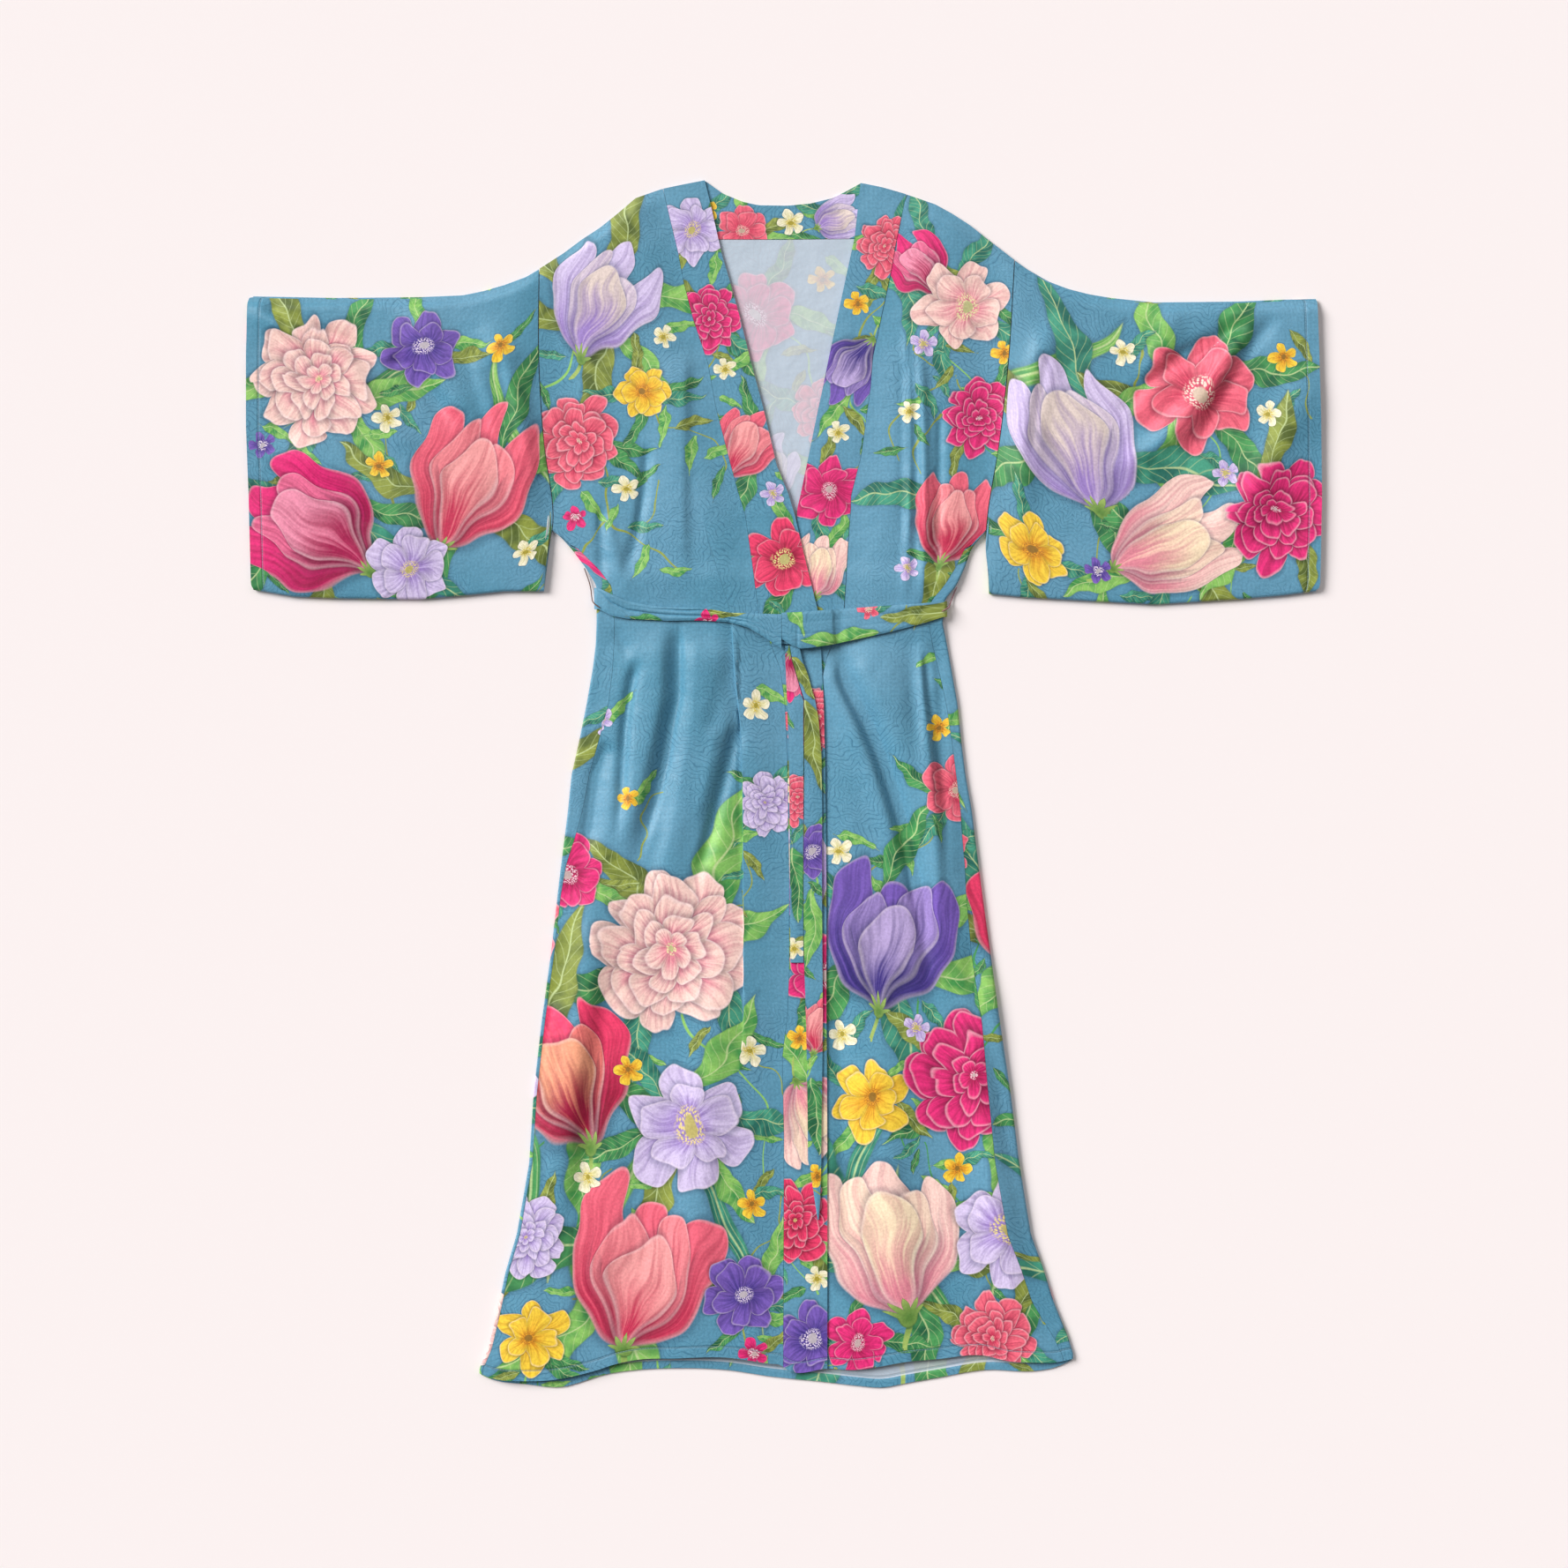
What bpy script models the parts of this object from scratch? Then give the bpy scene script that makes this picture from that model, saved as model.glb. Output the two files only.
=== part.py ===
# Long kimono robe of printed satin, laid flat on its back with its belt tied.
# Lay frame, in millimetres: "across" runs to the right from the middle of the robe, "down" runs
# from the neck points to the hem, "up" is the height above the surface that the robe lies on.
# Left and right are as seen from above. Blender's X is across, its Y is against down.

import bmesh
import bpy
import numpy as np

MM = 0.001
MIDDLE_DOWN = 684.0      # half of the robe's length, so that the frame's origin is in its middle
WALL = 1.2               # satin, with the loft it keeps when it lies loose
DOUBLE_WALL = 2.0        # bands and belt are double cloth
GAP = 0.3                # clearance at each seam and under each piece that lies on another
ARMHOLE_GAP = 0.85       # from the armhole's line to the sleeve's edge
UNDERARM_DOWN = 398.0
ROWS_TOP, ROWS_BOTTOM = 60.0, 1345.0
TOP_FADE, BOTTOM_FADE = 260.0, 150.0
SIDE_RISE = 3.6          # from the middle of the lower cloth to the middle of the upper cloth
LEFT_BAND_RISE = 5.6     # the left front lies over the right one
RIGHT_BAND_RISE = 3.2
LEAST_RISE = 1.65
NECK_RISE = 2.9          # of the front bands, over the band behind the neck
BELT_FLAT = (452.0, 502.0)      # the back lies over the belt's run between these
BELT_CLEAR = (430.0, 526.0)     # and is down on the surface again beyond these
BELT_LIFT = 2.35
BELT_MIDDLE_DOWN = 490.0
BELT_CINCH = 30.0
KNOT_LIFT = 2.5
KNOT_HALF_WIDTH = 26.0
THREAD = 1.5             # belt loops are chains of thread

# Rows across the body, shared by the back, the fronts and the bands, so that their seams match.
ROWS = (60, 95, 130, 170, 210, 250, 290, 330, 370, 392, 404, 416, 430, 441, 452, 460, 476, 502,
        526, 548, 572, 606, 640, 676, 712, 745, 775, 810, 860, 920, 990, 1060, 1130, 1190, 1240,
        1285, 1320, 1345)


def table(names, rows):
    """Columns of a small table by name."""
    return dict(zip(names.split(), np.array(rows, float).T))


# Top of the whole outline, cuff to cuff: sleeve folds, shoulders, neck.
TOP_EDGE = table("across down", (
    (-609, 131), (-556, 132), (-508, 133), (-412, 132), (-364, 130), (-340, 125), (-316, 118),
    (-292, 109), (-277, 100), (-249, 82), (-229, 67), (-209, 54), (-189, 38), (-168, 20),
    (-139, 10), (-90, 0), (-69, 15), (-47, 24), (-29, 28), (4, 28.5), (30, 26), (55, 20),
    (71, 12), (87, 3), (111, 8), (139, 16), (171, 27), (191, 38), (211, 51), (231, 67),
    (261, 90), (275, 100), (299, 114), (323, 123), (347, 129), (371, 133), (419, 138),
    (515, 137), (563, 135), (609, 134)))
# The back panel's neckline, under the ends of the front bands and straight between them.
BACK_NECK = table("across down", (
    (-139, 10), (-124, 40), (-106, 62), (-94, 67), (0, 67), (92, 66), (106, 60), (124, 40),
    (139, 16)))
# Armhole seams, and below the underarm the sleeves' own inner edges.
ARMHOLE = table("down left right", (
    (88, -277, 261), (214, -277, 253), (294, -272, 244), (394, -262, 229), (419, -266, 228),
    (439, -269, 230), (482, -272, 232)))
# Side edges of the body below the underarm.
SIDE_EDGE = table("down left right", (
    (394, -261, 228), (419, -240, 212), (439, -225, 205), (452, -217, 199), (460, -212.5, 195),
    (476, -212.5, 182), (502, -212.5, 180), (526, -213.5, 185), (554, -217, 190),
    (594, -224, 197), (634, -232, 201), (674, -241, 206), (714, -245, 213), (794, -255, 223),
    (874, -264, 234), (954, -275, 245), (1034, -284, 257), (1114, -289, 267),
    (1194, -303, 280), (1234, -316, 294), (1274, -325, 306), (1314, -335, 321),
    (1339, -345, 328), (1372, -347, 328)))
# How far the back panel wraps round each side edge before it meets the front.
SEAM_INSET = table("down left right", (
    (394, 4, 4), (419, 8, 8), (441, 14, 11), (460, 17, 14), (480, 20, 15), (526, 21, 17),
    (572, 24, 14), (594, 25, 13), (640, 22, 11), (676, 20, 11), (712, 17, 13), (745, 12, 15),
    (775, 6, 16), (810, 4, 19), (874, 4, 22), (954, 4, 21), (1034, 4, 26), (1114, 4, 28),
    (1194, 4, 27), (1274, 4, 25), (1320, 4, 15), (1372, 4, 8)))
# Bands: the seam to the front, and the free edge.
LEFT_BAND = table("down seam free", (
    (0, -139, -90), (28, -133, -83), (82, -120, -71), (116, -113.5, -61), (157, -103, -49.5),
    (208, -86, -37), (256, -77.5, -24), (324, -60, -8), (353, -52, 4), (379, -44, 12),
    (434, -36, 25), (489, -29, 38.5), (534, -12, 42), (554, -4, 43), (594, 1, 45), (664, 4, 46.5),
    (794, 6, 48), (894, 6, 48), (945, 4, 48), (994, -2, 48.5), (1084, 0, 49), (1372, -1, 49)))
RIGHT_BAND = table("down free seam", (
    (0, 87, 142), (65, 80, 128), (106, 71, 120.6), (200, 51, 100.6), (235, 44, 98),
    (267, 37, 93.6), (312, 28, 87.5), (357, 18.5, 76), (372, 15, 75.5), (409, 14, 72.7),
    (485, 12, 68), (514, 7, 59), (539, -3, 49), (574, -11, 41), (794, -16, 36), (1372, -16, 36)))
SLEEVE_BOTTOM = table("across down", (
    (-609, 463), (-556, 472), (-508, 474), (-412, 475), (-364, 471), (-316, 466), (-272, 466),
    (232, 469), (275, 473), (347, 477), (419, 481), (467, 478), (515, 475), (563, 471),
    (609, 465)))
CUFF = table("down left right", (
    (131, -608, 604), (199, -609, 606), (279, -609, 608), (359, -606, 609), (459, -603.5, 607),
    (482, -603, 606)))
# Hems: the back is a little longer than the fronts, so its inside shows below them.
FRONT_HEM = table("across down", (
    (-347, 1351), (-331, 1357), (-293, 1360), (-257, 1358), (-228, 1352), (-210, 1347),
    (-192, 1341), (-168, 1336), (-123, 1334), (-65, 1333), (-18, 1340), (-2, 1343), (2, 1346),
    (49, 1346), (83, 1347), (105, 1344), (139, 1338), (173, 1335), (227, 1331), (252, 1337),
    (286, 1339), (308, 1339), (328, 1335)))
BACK_HEM = table("across down", (
    (-347, 1352), (-331, 1359), (-293, 1364), (-249, 1367), (-228, 1361), (-210, 1355),
    (-168, 1348), (-123, 1346), (-65, 1348), (-18, 1355), (49, 1362), (83, 1366), (111, 1368),
    (139, 1363), (173, 1357), (227, 1348), (286, 1349), (308, 1345), (328, 1336)))
# The largest folds. A fold runs from one end to the other, bows sideways by "bow" at its
# middle, and is a ridge where its height is positive and a trough where it is negative.
FOLDS = table("across0 down0 across1 down1 bow width height", (
    (-180, 512, -206, 760, 4, 11, -1.8), (-163, 512, -176, 800, 5, 13, 5.0),
    (-127, 505, -142, 770, 4, 12, -2.0), (-96, 512, -112, 860, 5, 17, 6.5),
    (-58, 540, -112, 810, -8, 12, -1.8), (-118, 340, -120, 482, 2, 7, 3.0),
    (-65, 500, -54, 650, 2, 7, -2.4), (-56, 620, -52, 960, 0, 7, -2.4),
    (-200, 380, -176, 470, -3, 8, 3.5), (60, 530, 170, 960, 22, 11, -1.9),
    (92, 520, 192, 900, 20, 16, 6.5), (150, 520, 178, 880, 4, 9, 4.5),
    (172, 512, 182, 830, 3, 7, -1.6), (138, 190, 136, 478, 2, 5, 3.2),
    (154, 200, 158, 470, 2, 7, 3.8), (-215, 820, -262, 1150, 6, 24, 5.5),
    (-70, 880, -110, 1320, -6, 30, 5.0), (225, 900, 262, 1290, -6, 22, 5.5),
    (110, 960, 120, 1330, 5, 30, 5.0), (-596, 150, -455, 262, 18, 14, 6.0),
    (-330, 170, -292, 380, 8, 18, 6.5), (-560, 300, -400, 440, 16, 22, 5.0),
    (-420, 150, -350, 300, 8, 20, 4.0), (520, 160, 380, 330, 20, 15, 6.5),
    (590, 230, 470, 420, 16, 22, 5.0), (300, 170, 270, 380, -8, 18, 6.0),
    (440, 150, 400, 250, 6, 18, 3.5)))
BELT_LEFT = table("across upper lower", (
    (-209, 462, 486), (-196, 468, 491), (-178, 474, 496), (-153, 481, 498), (-109, 484, 499.5),
    (-84, 487, 500), (-59, 490, 502), (-41, 490.5, 507), (-24, 491, 517), (-9, 491, 527),
    (-3, 491, 531)))
BELT_RIGHT = table("across upper lower", (
    (181, 477, 495), (157, 480, 502), (120, 482, 512), (79, 485, 521), (51, 487, 527),
    (30, 489, 530), (19, 490, 531), (8, 490.5, 526), (-2.6, 491, 520)))
BELT_BACK = table("across upper lower", (
    (-208, 462, 486), (-180, 461, 491), (-120, 460, 497), (0, 460, 498), (110, 461, 499),
    (160, 470, 498), (178, 477, 495)))
LEFT_TURN = {"outer": -215.2, "under": -208.3, "low": 1.0, "high": 8.9}
RIGHT_TURN = {"outer": 185.0, "under": 178.3, "low": 1.0, "high": 8.9}
KNOT = table("across upper lower", (
    (-22, 495, 512), (-14, 494, 519), (-4, 494, 525), (8, 495, 526), (18, 496, 525)))
KNOT_UP = 10.9
TAIL_SHORT = table("down left right up", (
    (527.5, 1.0, 6, 10.6), (545, 1.5, 9, 9.6), (560, 2.2, 13.5, 8.9), (575, 2.8, 18, 8.6),
    (591, 3.4, 22, 8.5), (610, 4.2, 21.6, 8.5), (650, 5, 21.6, 8.5), (700, 6, 21.6, 8.5),
    (794, 7.2, 21.8, 8.5), (850, 7.2, 21.9, 8.5), (886, 7.2, 22, 8.5)))
FALL = table("down left right up", (
    (527.5, 6.5, 17, 10.8), (545, 9.7, 21, 9.8), (560, 14.2, 27, 9.1), (575, 18.7, 31, 8.8),
    (588, 22.8, 35, 8.6)))
TAIL_LONG = table("down left right up", (
    (588.4, 22.8, 35, 8.6), (610, 22.6, 39, 8.5), (650, 22.6, 42, 8.5), (720, 22.6, 43, 8.5),
    (834, 22.6, 43.5, 8.5), (890, 22.8, 43.5, 8.5), (949, 24.5, 43.5, 8.5),
    (1064, 27, 42.8, 8.5), (1110, 27.5, 42.6, 8.5), (1121, 30, 42.3, 8.5),
    (1156, 35, 41, 8.5), (1177, 38, 39.5, 8.5)))
LOOP_LEFT = table("across down up", (
    (-226.2, 439.5, 3.4), (-223.5, 447, 2.6), (-220.5, 456, 2.2), (-218.6, 465, 2.6),
    (-217.8, 472, 4.0), (-216.2, 478, 7.6), (-212, 482, 10.7), (-208.5, 484.5, 11.2)))
LOOP_RIGHT = table("across down up", (
    (195.6, 461, 4.7), (193, 467, 2.6), (190.5, 474, 2.2), (188, 480, 4.2), (186.6, 484, 8.0),
    (182, 487, 11.0), (178.5, 489, 11.4)))

# Colours of the cloth, as a designer would pick them, for a look at the plain solids.
SATIN_BLUE = (0.105, 0.290, 0.440, 1.0)
BAND_BLUE = (0.090, 0.265, 0.400, 1.0)
BELT_BLUE = (0.120, 0.330, 0.470, 1.0)
THREAD_BROWN = (0.180, 0.075, 0.060, 1.0)


def smooth(xs, ys, at):
    """A smooth curve through the points of a table, read at any places."""
    at = np.clip(np.asarray(at, float), xs[0], xs[-1])
    slope = np.gradient(ys, xs)
    i = np.clip(np.searchsorted(xs, at, side="right") - 1, 0, len(xs) - 2)
    span = xs[i + 1] - xs[i]
    t = (at - xs[i]) / span
    return ((1 + 2 * t) * (1 - t) ** 2 * ys[i] + t * (1 - t) ** 2 * span * slope[i]
            + t * t * (3 - 2 * t) * ys[i + 1] + t * t * (t - 1) * span * slope[i + 1])


def straight(xs, ys, at):
    return np.interp(at, xs, ys)


def step(value):
    """0 below 0, 1 above 1, and smooth between."""
    t = np.clip(value, 0.0, 1.0)
    return t * t * (3 - 2 * t)


def top_edge(across):
    return straight(TOP_EDGE["across"], TOP_EDGE["down"], across)


def back_top(across):
    inside = np.abs(across) < BACK_NECK["across"][-1]
    neck = straight(BACK_NECK["across"], BACK_NECK["down"], across)
    return np.where(inside, neck, top_edge(across))


def front_hem(across):
    return smooth(FRONT_HEM["across"], FRONT_HEM["down"], across)


def back_hem(across):
    return smooth(BACK_HEM["across"], BACK_HEM["down"], across)


def armhole(side, down):
    return smooth(ARMHOLE["down"], ARMHOLE[side], down)


def side_edge(side, down):
    return straight(SIDE_EDGE["down"], SIDE_EDGE[side], down)


def side_seam(side, down):
    inset = straight(SEAM_INSET["down"], SEAM_INSET[side], down)
    return side_edge(side, down) + (inset if side == "left" else -inset)


def band_edge(side, edge, down):
    band = LEFT_BAND if side == "left" else RIGHT_BAND
    return straight(band["down"], band[edge], down)


def lay_down(row, across, top, bottom):
    """Where a row lies at each place across: it follows the top edge and the hem near them."""
    near_top = np.clip(1 - (row - ROWS_TOP) / TOP_FADE, 0, 1)
    near_hem = np.clip(1 - (ROWS_BOTTOM - row) / BOTTOM_FADE, 0, 1)
    return row + (top(across) - ROWS_TOP) * near_top + (bottom(across) - ROWS_BOTTOM) * near_hem


def belt_lift(down):
    """How far the back panel is lifted by the belt's run beneath it."""
    rising = (down - BELT_CLEAR[0]) / (BELT_FLAT[0] - BELT_CLEAR[0])
    falling = (BELT_CLEAR[1] - down) / (BELT_CLEAR[1] - BELT_FLAT[1])
    return BELT_LIFT * np.clip(np.minimum(rising, falling), 0, 1)


def fold_height(across, down):
    """Ridges and troughs of the upper cloth, faded where the belt draws it in."""
    total = np.zeros(np.broadcast(across, down).shape)
    for i in range(len(FOLDS["height"])):
        x0, y0 = FOLDS["across0"][i], FOLDS["down0"][i]
        dx, dy = FOLDS["across1"][i] - x0, FOLDS["down1"][i] - y0
        length = np.hypot(dx, dy)
        along = ((across - x0) * dx + (down - y0) * dy) / length ** 2
        aside = ((across - x0) * dy - (down - y0) * dx) / length
        bowed = aside - FOLDS["bow"][i] * 4 * along * (1 - along)
        taper = step((along + 0.12) / 0.3) * step((1.12 - along) / 0.45)
        total += FOLDS["height"][i] * taper * np.exp(-(bowed / FOLDS["width"][i]) ** 2)
    return total * (1 - 0.8 * np.exp(-((down - BELT_MIDDLE_DOWN) / BELT_CINCH) ** 2))


def level(side, across):
    """Height of the upper cloth over the lower one where it has no fold."""
    if side == "left":
        return SIDE_RISE + (LEFT_BAND_RISE - SIDE_RISE) * step((across + 160) / 100)
    return SIDE_RISE + (RIGHT_BAND_RISE - SIDE_RISE) * step((160 - across) / 100)


def rise(side, across, down, least=LEAST_RISE):
    """Height of the upper cloth's middle over the lower cloth's middle."""
    inside = np.clip((down - top_edge(across)) / 14, 0, 1)
    lofted = level(side, across) + fold_height(across, down) * step(inside)
    return np.maximum(least + (lofted - least) * step(0.25 + 0.75 * inside), least)


def lower_up(down):
    return WALL / 2 + belt_lift(down)


def upper_up(side, across, down, least=LEAST_RISE):
    return lower_up(down) + rise(side, across, down, least)


def world(points):
    """Lay frame in millimetres to Blender's metres."""
    points = np.asarray(points, float)
    return np.stack([points[..., 0], MIDDLE_DOWN - points[..., 1], points[..., 2]], -1) * MM


def finish(name, bm, colour, roughness):
    bmesh.ops.recalc_face_normals(bm, faces=bm.faces)
    mesh = bpy.data.meshes.new(name)
    bm.to_mesh(mesh)
    bm.free()
    mesh.shade_smooth()
    mesh.set_sharp_from_angle(angle=np.radians(40))
    material = bpy.data.materials.new(name + "_cloth")
    material.use_nodes = True
    shader = material.node_tree.nodes["Principled BSDF"]
    shader.inputs["Base Color"].default_value = colour
    shader.inputs["Roughness"].default_value = roughness
    shader.inputs["Metallic"].default_value = 0.0
    mesh.materials.append(material)
    bpy.context.scene.collection.objects.link(bpy.data.objects.new(name, mesh))


def skins(bm, outer, inner, ring):
    """Two grids of vertices and the faces on them. A ring's columns close on themselves."""
    grids = [[[bm.verts.new(p) for p in row] for row in world(skin)] for skin in (outer, inner)]
    rows, columns = len(outer), len(outer[0])
    for grid in grids:
        for i in range(rows - 1):
            for j in range(columns if ring else columns - 1):
                k = (j + 1) % columns
                bm.faces.new((grid[i][j], grid[i + 1][j], grid[i + 1][k], grid[i][k]))
    return grids


def walled(name, outer, inner, colour=SATIN_BLUE, roughness=0.45, ring=False):
    """A cloth wall between two grids of points, closed along its edges."""
    bm = bmesh.new()
    out, ins = skins(bm, outer, inner, ring)
    rows, columns = len(out), len(out[0])
    for i in (0, rows - 1):
        for j in range(columns if ring else columns - 1):
            k = (j + 1) % columns
            bm.faces.new((out[i][j], out[i][k], ins[i][k], ins[i][j]))
    for j in () if ring else (0, columns - 1):
        for i in range(rows - 1):
            bm.faces.new((out[i][j], out[i + 1][j], ins[i + 1][j], ins[i][j]))
    finish(name, bm, colour, roughness)


def sheet(name, across, down, up, thickness, colour=SATIN_BLUE):
    """A wall whose middle is a height over each place."""
    half = thickness / 2
    walled(name, np.stack([across, down, up + half], -1), np.stack([across, down, up - half], -1),
           colour)


def front_side_edge(side, row):
    """Across position of a front's side edge in one row, clear of the sleeve or of the back."""
    inward = 1 if side == "left" else -1
    if row > UNDERARM_DOWN:
        tip = side_points(side, row)[0][0]
        return tip + inward * (GAP + WALL / 2 * np.sin(curl(row)))
    across = armhole(side, row)
    for _ in range(4):
        across = armhole(side, lay_down(row, across, top_edge, front_hem))
    return across + inward * GAP / 2


def band_row_edge(side, edge, row):
    across = band_edge(side, edge, ROWS_TOP)
    for _ in range(4):
        across = band_edge(side, edge, lay_down(row, across, top_edge, front_hem))
    return across


def front(side, columns=14):
    """One front, from its armhole and side seam to its band."""
    inward = 1 if side == "left" else -1
    grid = []
    for row in ROWS:
        seam = band_row_edge(side, "seam", row) - inward * GAP / 2
        across = np.linspace(front_side_edge(side, row), seam, columns)
        grid.append((across, lay_down(row, across, top_edge, front_hem)))
    across, down = np.moveaxis(np.array(grid), 1, 0)
    sheet("front_" + side, across, down, upper_up(side, across, down), WALL)


def band(side, columns=4):
    """One front band, from its seam to its free edge."""
    inward = 1 if side == "left" else -1
    grid = []
    for row in ROWS:
        seam = band_row_edge(side, "seam", row) + inward * GAP / 2
        free = band_row_edge(side, "free", row)
        across = np.linspace(seam, free, columns)
        grid.append((across, lay_down(row, across, top_edge, front_hem)))
    across, down = np.moveaxis(np.array(grid), 1, 0)
    settled = step((down - top_edge(across)) / 45)
    up = lower_up(down) + NECK_RISE + (level(side, across) - NECK_RISE) * settled
    sheet("band_" + side, across, down, up, DOUBLE_WALL, BAND_BLUE)


def neck_band():
    """The stretch of the band behind the neck, flat on the surface above the back's neckline."""
    across = np.array([-130, -124, -115, -106, -94, -80, -69, -58, -47, -29, 4, 30, 43, 55,
                       71, 79, 92, 106, 115, 124, 130], float)
    lower = back_top(across) - GAP * np.hypot(1, np.gradient(back_top(across), across)) - GAP / 3
    upper = top_edge(across)
    down = np.stack([upper, (upper + lower) / 2, lower])
    grid = np.broadcast_to(across, down.shape)
    sheet("band_neck", grid, down, np.full(down.shape, DOUBLE_WALL / 2), DOUBLE_WALL, BAND_BLUE)


def curl(row):
    """How far the back's edge is turned up: flat at the armhole, right over below the underarm."""
    return np.radians(np.interp(row, (392, 404, 416), (0, 110, 180)))


def side_points(side, row, chords=4):
    """One row of the back's edge, from the seam with the front inwards: its middle line, its
    outward directions, and the place where the flat run starts."""
    inward = 1 if side == "left" else -1
    turned = curl(row)
    low = lower_up(row)
    edge = armhole(side, lay_down(row, armhole(side, row), back_top, back_hem))
    if turned:
        edge = side_edge(side, row)
    lift = rise(side, edge + inward * 3, row)
    chord = lift / chords / np.sinc(0.5) * np.sinc(0.5 / chords)
    turn = edge + inward * (WALL / 2 + lift / 2)
    strip = 1.0
    if turned == np.pi:
        strip = max(inward * (side_seam(side, row) - turn) - GAP / 2, 0.8)
    if not turned:
        turn = edge + inward * (GAP / 2 + strip + chords * chord)
    headings = np.append(turned * (np.arange(chords) + 0.5) / chords, (turned, turned))
    lengths = np.append(np.full(chords, chord), (strip / 2, strip / 2))
    across = turn - inward * np.cumsum(lengths * np.cos(headings))
    up = low + np.cumsum(lengths * np.sin(headings))
    if turned == np.pi:
        up[chords:] = low + rise(side, across[chords:], row)
    facing = (headings + np.append(headings[1:], headings[-1])) / 2
    normal = np.stack([-inward * np.sin(facing), -np.cos(facing)], -1)
    return across[::-1], up[::-1], normal[::-1], turn


def back_panel():
    """The back: flat on the surface, turned up round both sides to the fronts' seams."""
    shares = np.array((0, 0.3, 0.55, 0.8))
    outer, inner = [], []
    for row in ROWS:
        left, left_up, left_out, left_turn = side_points("left", row)
        right, right_up, right_out, right_turn = side_points("right", row)
        run = np.concatenate([left_turn + (BACK_NECK["across"][0] - left_turn) * shares,
                              BACK_NECK["across"],
                              (right_turn + (BACK_NECK["across"][-1] - right_turn) * shares)[::-1]])
        across = np.concatenate([left, run, right[::-1]])
        up = np.concatenate([left_up, np.full(len(run), lower_up(row)), right_up[::-1]])
        out = np.concatenate([left_out, np.tile((0.0, -1.0), (len(run), 1)), right_out[::-1]])
        down = lay_down(row, across, back_top, front_hem)
        flat = slice(len(left), len(left) + len(run))
        down[flat] = lay_down(row, run, back_top, back_hem)
        half = WALL / 2
        outer.append(np.stack([across + half * out[:, 0], down, up + half * out[:, 1]], -1))
        inner.append(np.stack([across - half * out[:, 0], down, up - half * out[:, 1]], -1))
    walled("back_panel", outer, inner)


def sleeve_place(side, part, ratio):
    """Across and down of a place on a sleeve: part runs cuff to armhole, ratio fold to bottom."""
    down = 131 + (470 - 131) * ratio
    for _ in range(4):
        cuff = straight(CUFF["down"], CUFF[side], down)
        inner_gap = ARMHOLE_GAP if side == "left" else -ARMHOLE_GAP
        across = cuff + (armhole(side, down) - inner_gap - cuff) * part
        top, bottom = top_edge(across), straight(SLEEVE_BOTTOM["across"], SLEEVE_BOTTOM["down"],
                                                 across)
        down = top + (bottom - top) * ratio
    return across, down, top, bottom


def sleeve_ring(side, part, offset, lowest=None):
    """One closed ring of a sleeve's wall. "lowest" ends it higher up, where the end is sewn shut."""
    angle = np.radians((45, 0, -45))
    over, under = np.linspace(0, 1, 12), np.linspace(1, 0, 6)
    ring = []
    least = 2.8

    def edge(ratio):
        across, down, top, bottom = sleeve_place(side, part, ratio)
        if lowest is not None and ratio == 1:
            down = lowest
            across = armhole(side, down) - (ARMHOLE_GAP if side == "left" else -ARMHOLE_GAP)
        inwards = 1 if ratio == 0 else -1
        radius = rise(side, across, down + inwards * 2, least) / 2
        return across, down, inwards, radius

    def turn(ratio, flip):
        across, down, inwards, radius = edge(ratio)
        middle = down + inwards * (WALL / 2 + radius)
        reach = radius + offset
        for a in flip * angle:
            ring.append((across, middle - inwards * reach * np.cos(a),
                         WALL / 2 + radius + reach * np.sin(a)))

    ends = []
    for ratio in (0, 1):
        across, down, inwards, radius = edge(ratio)
        ends.append(down + inwards * (WALL / 2 + radius))
    for ratio in over:
        down = ends[0] + (ends[1] - ends[0]) * ratio
        cuff = straight(CUFF["down"], CUFF[side], down)
        inner_gap = ARMHOLE_GAP if side == "left" else -ARMHOLE_GAP
        across = cuff + (armhole(side, down) - inner_gap - cuff) * part
        ring.append((across, down, WALL / 2 + rise(side, across, down, least) + offset))
    turn(1, 1)
    for ratio in under:
        down = ends[0] + (ends[1] - ends[0]) * ratio
        cuff = straight(CUFF["down"], CUFF[side], down)
        inner_gap = ARMHOLE_GAP if side == "left" else -ARMHOLE_GAP
        across = cuff + (armhole(side, down) - inner_gap - cuff) * part
        ring.append((across, down, WALL / 2 - offset))
    turn(0, -1)
    return np.array(ring, float)


def sleeve(side, sections=13):
    """One sleeve: a flattened tube, open at the cuff and, above the underarm, at the armhole."""
    parts = np.append(np.linspace(0, 0.985, sections), 1.0)
    outer = [sleeve_ring(side, part, WALL / 2) for part in parts]
    inner = [sleeve_ring(side, part, -WALL / 2, UNDERARM_DOWN - 4 if part == 1 else None)
             for part in parts]
    walled("sleeve_" + side, outer, inner, ring=True)


def cover_up(across, down):
    """Top of whatever lies uppermost at a place on the body, the knot's bulk included."""
    left_seam, left_free = (band_edge("left", edge, down) for edge in ("seam", "free"))
    right_seam = band_edge("right", "seam", down)
    low = lower_up(down)
    left_cloth = low + rise("left", across, down) + WALL / 2
    left_band = low + level("left", across) + DOUBLE_WALL / 2
    right_band = low + level("right", across) + DOUBLE_WALL / 2
    right_cloth = low + rise("right", across, down) + WALL / 2
    top = np.select([across < left_seam, across < left_free, across < right_seam],
                    [left_cloth, left_band, right_band], right_cloth)
    knot = LEFT_BAND_RISE + WALL / 2 + DOUBLE_WALL / 2 + KNOT_LIFT
    bulk = step((2 * KNOT_HALF_WIDTH - abs(across)) / KNOT_HALF_WIDTH)
    return np.maximum(top, top + (knot + BELT_LIFT - top) * bulk)


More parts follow.
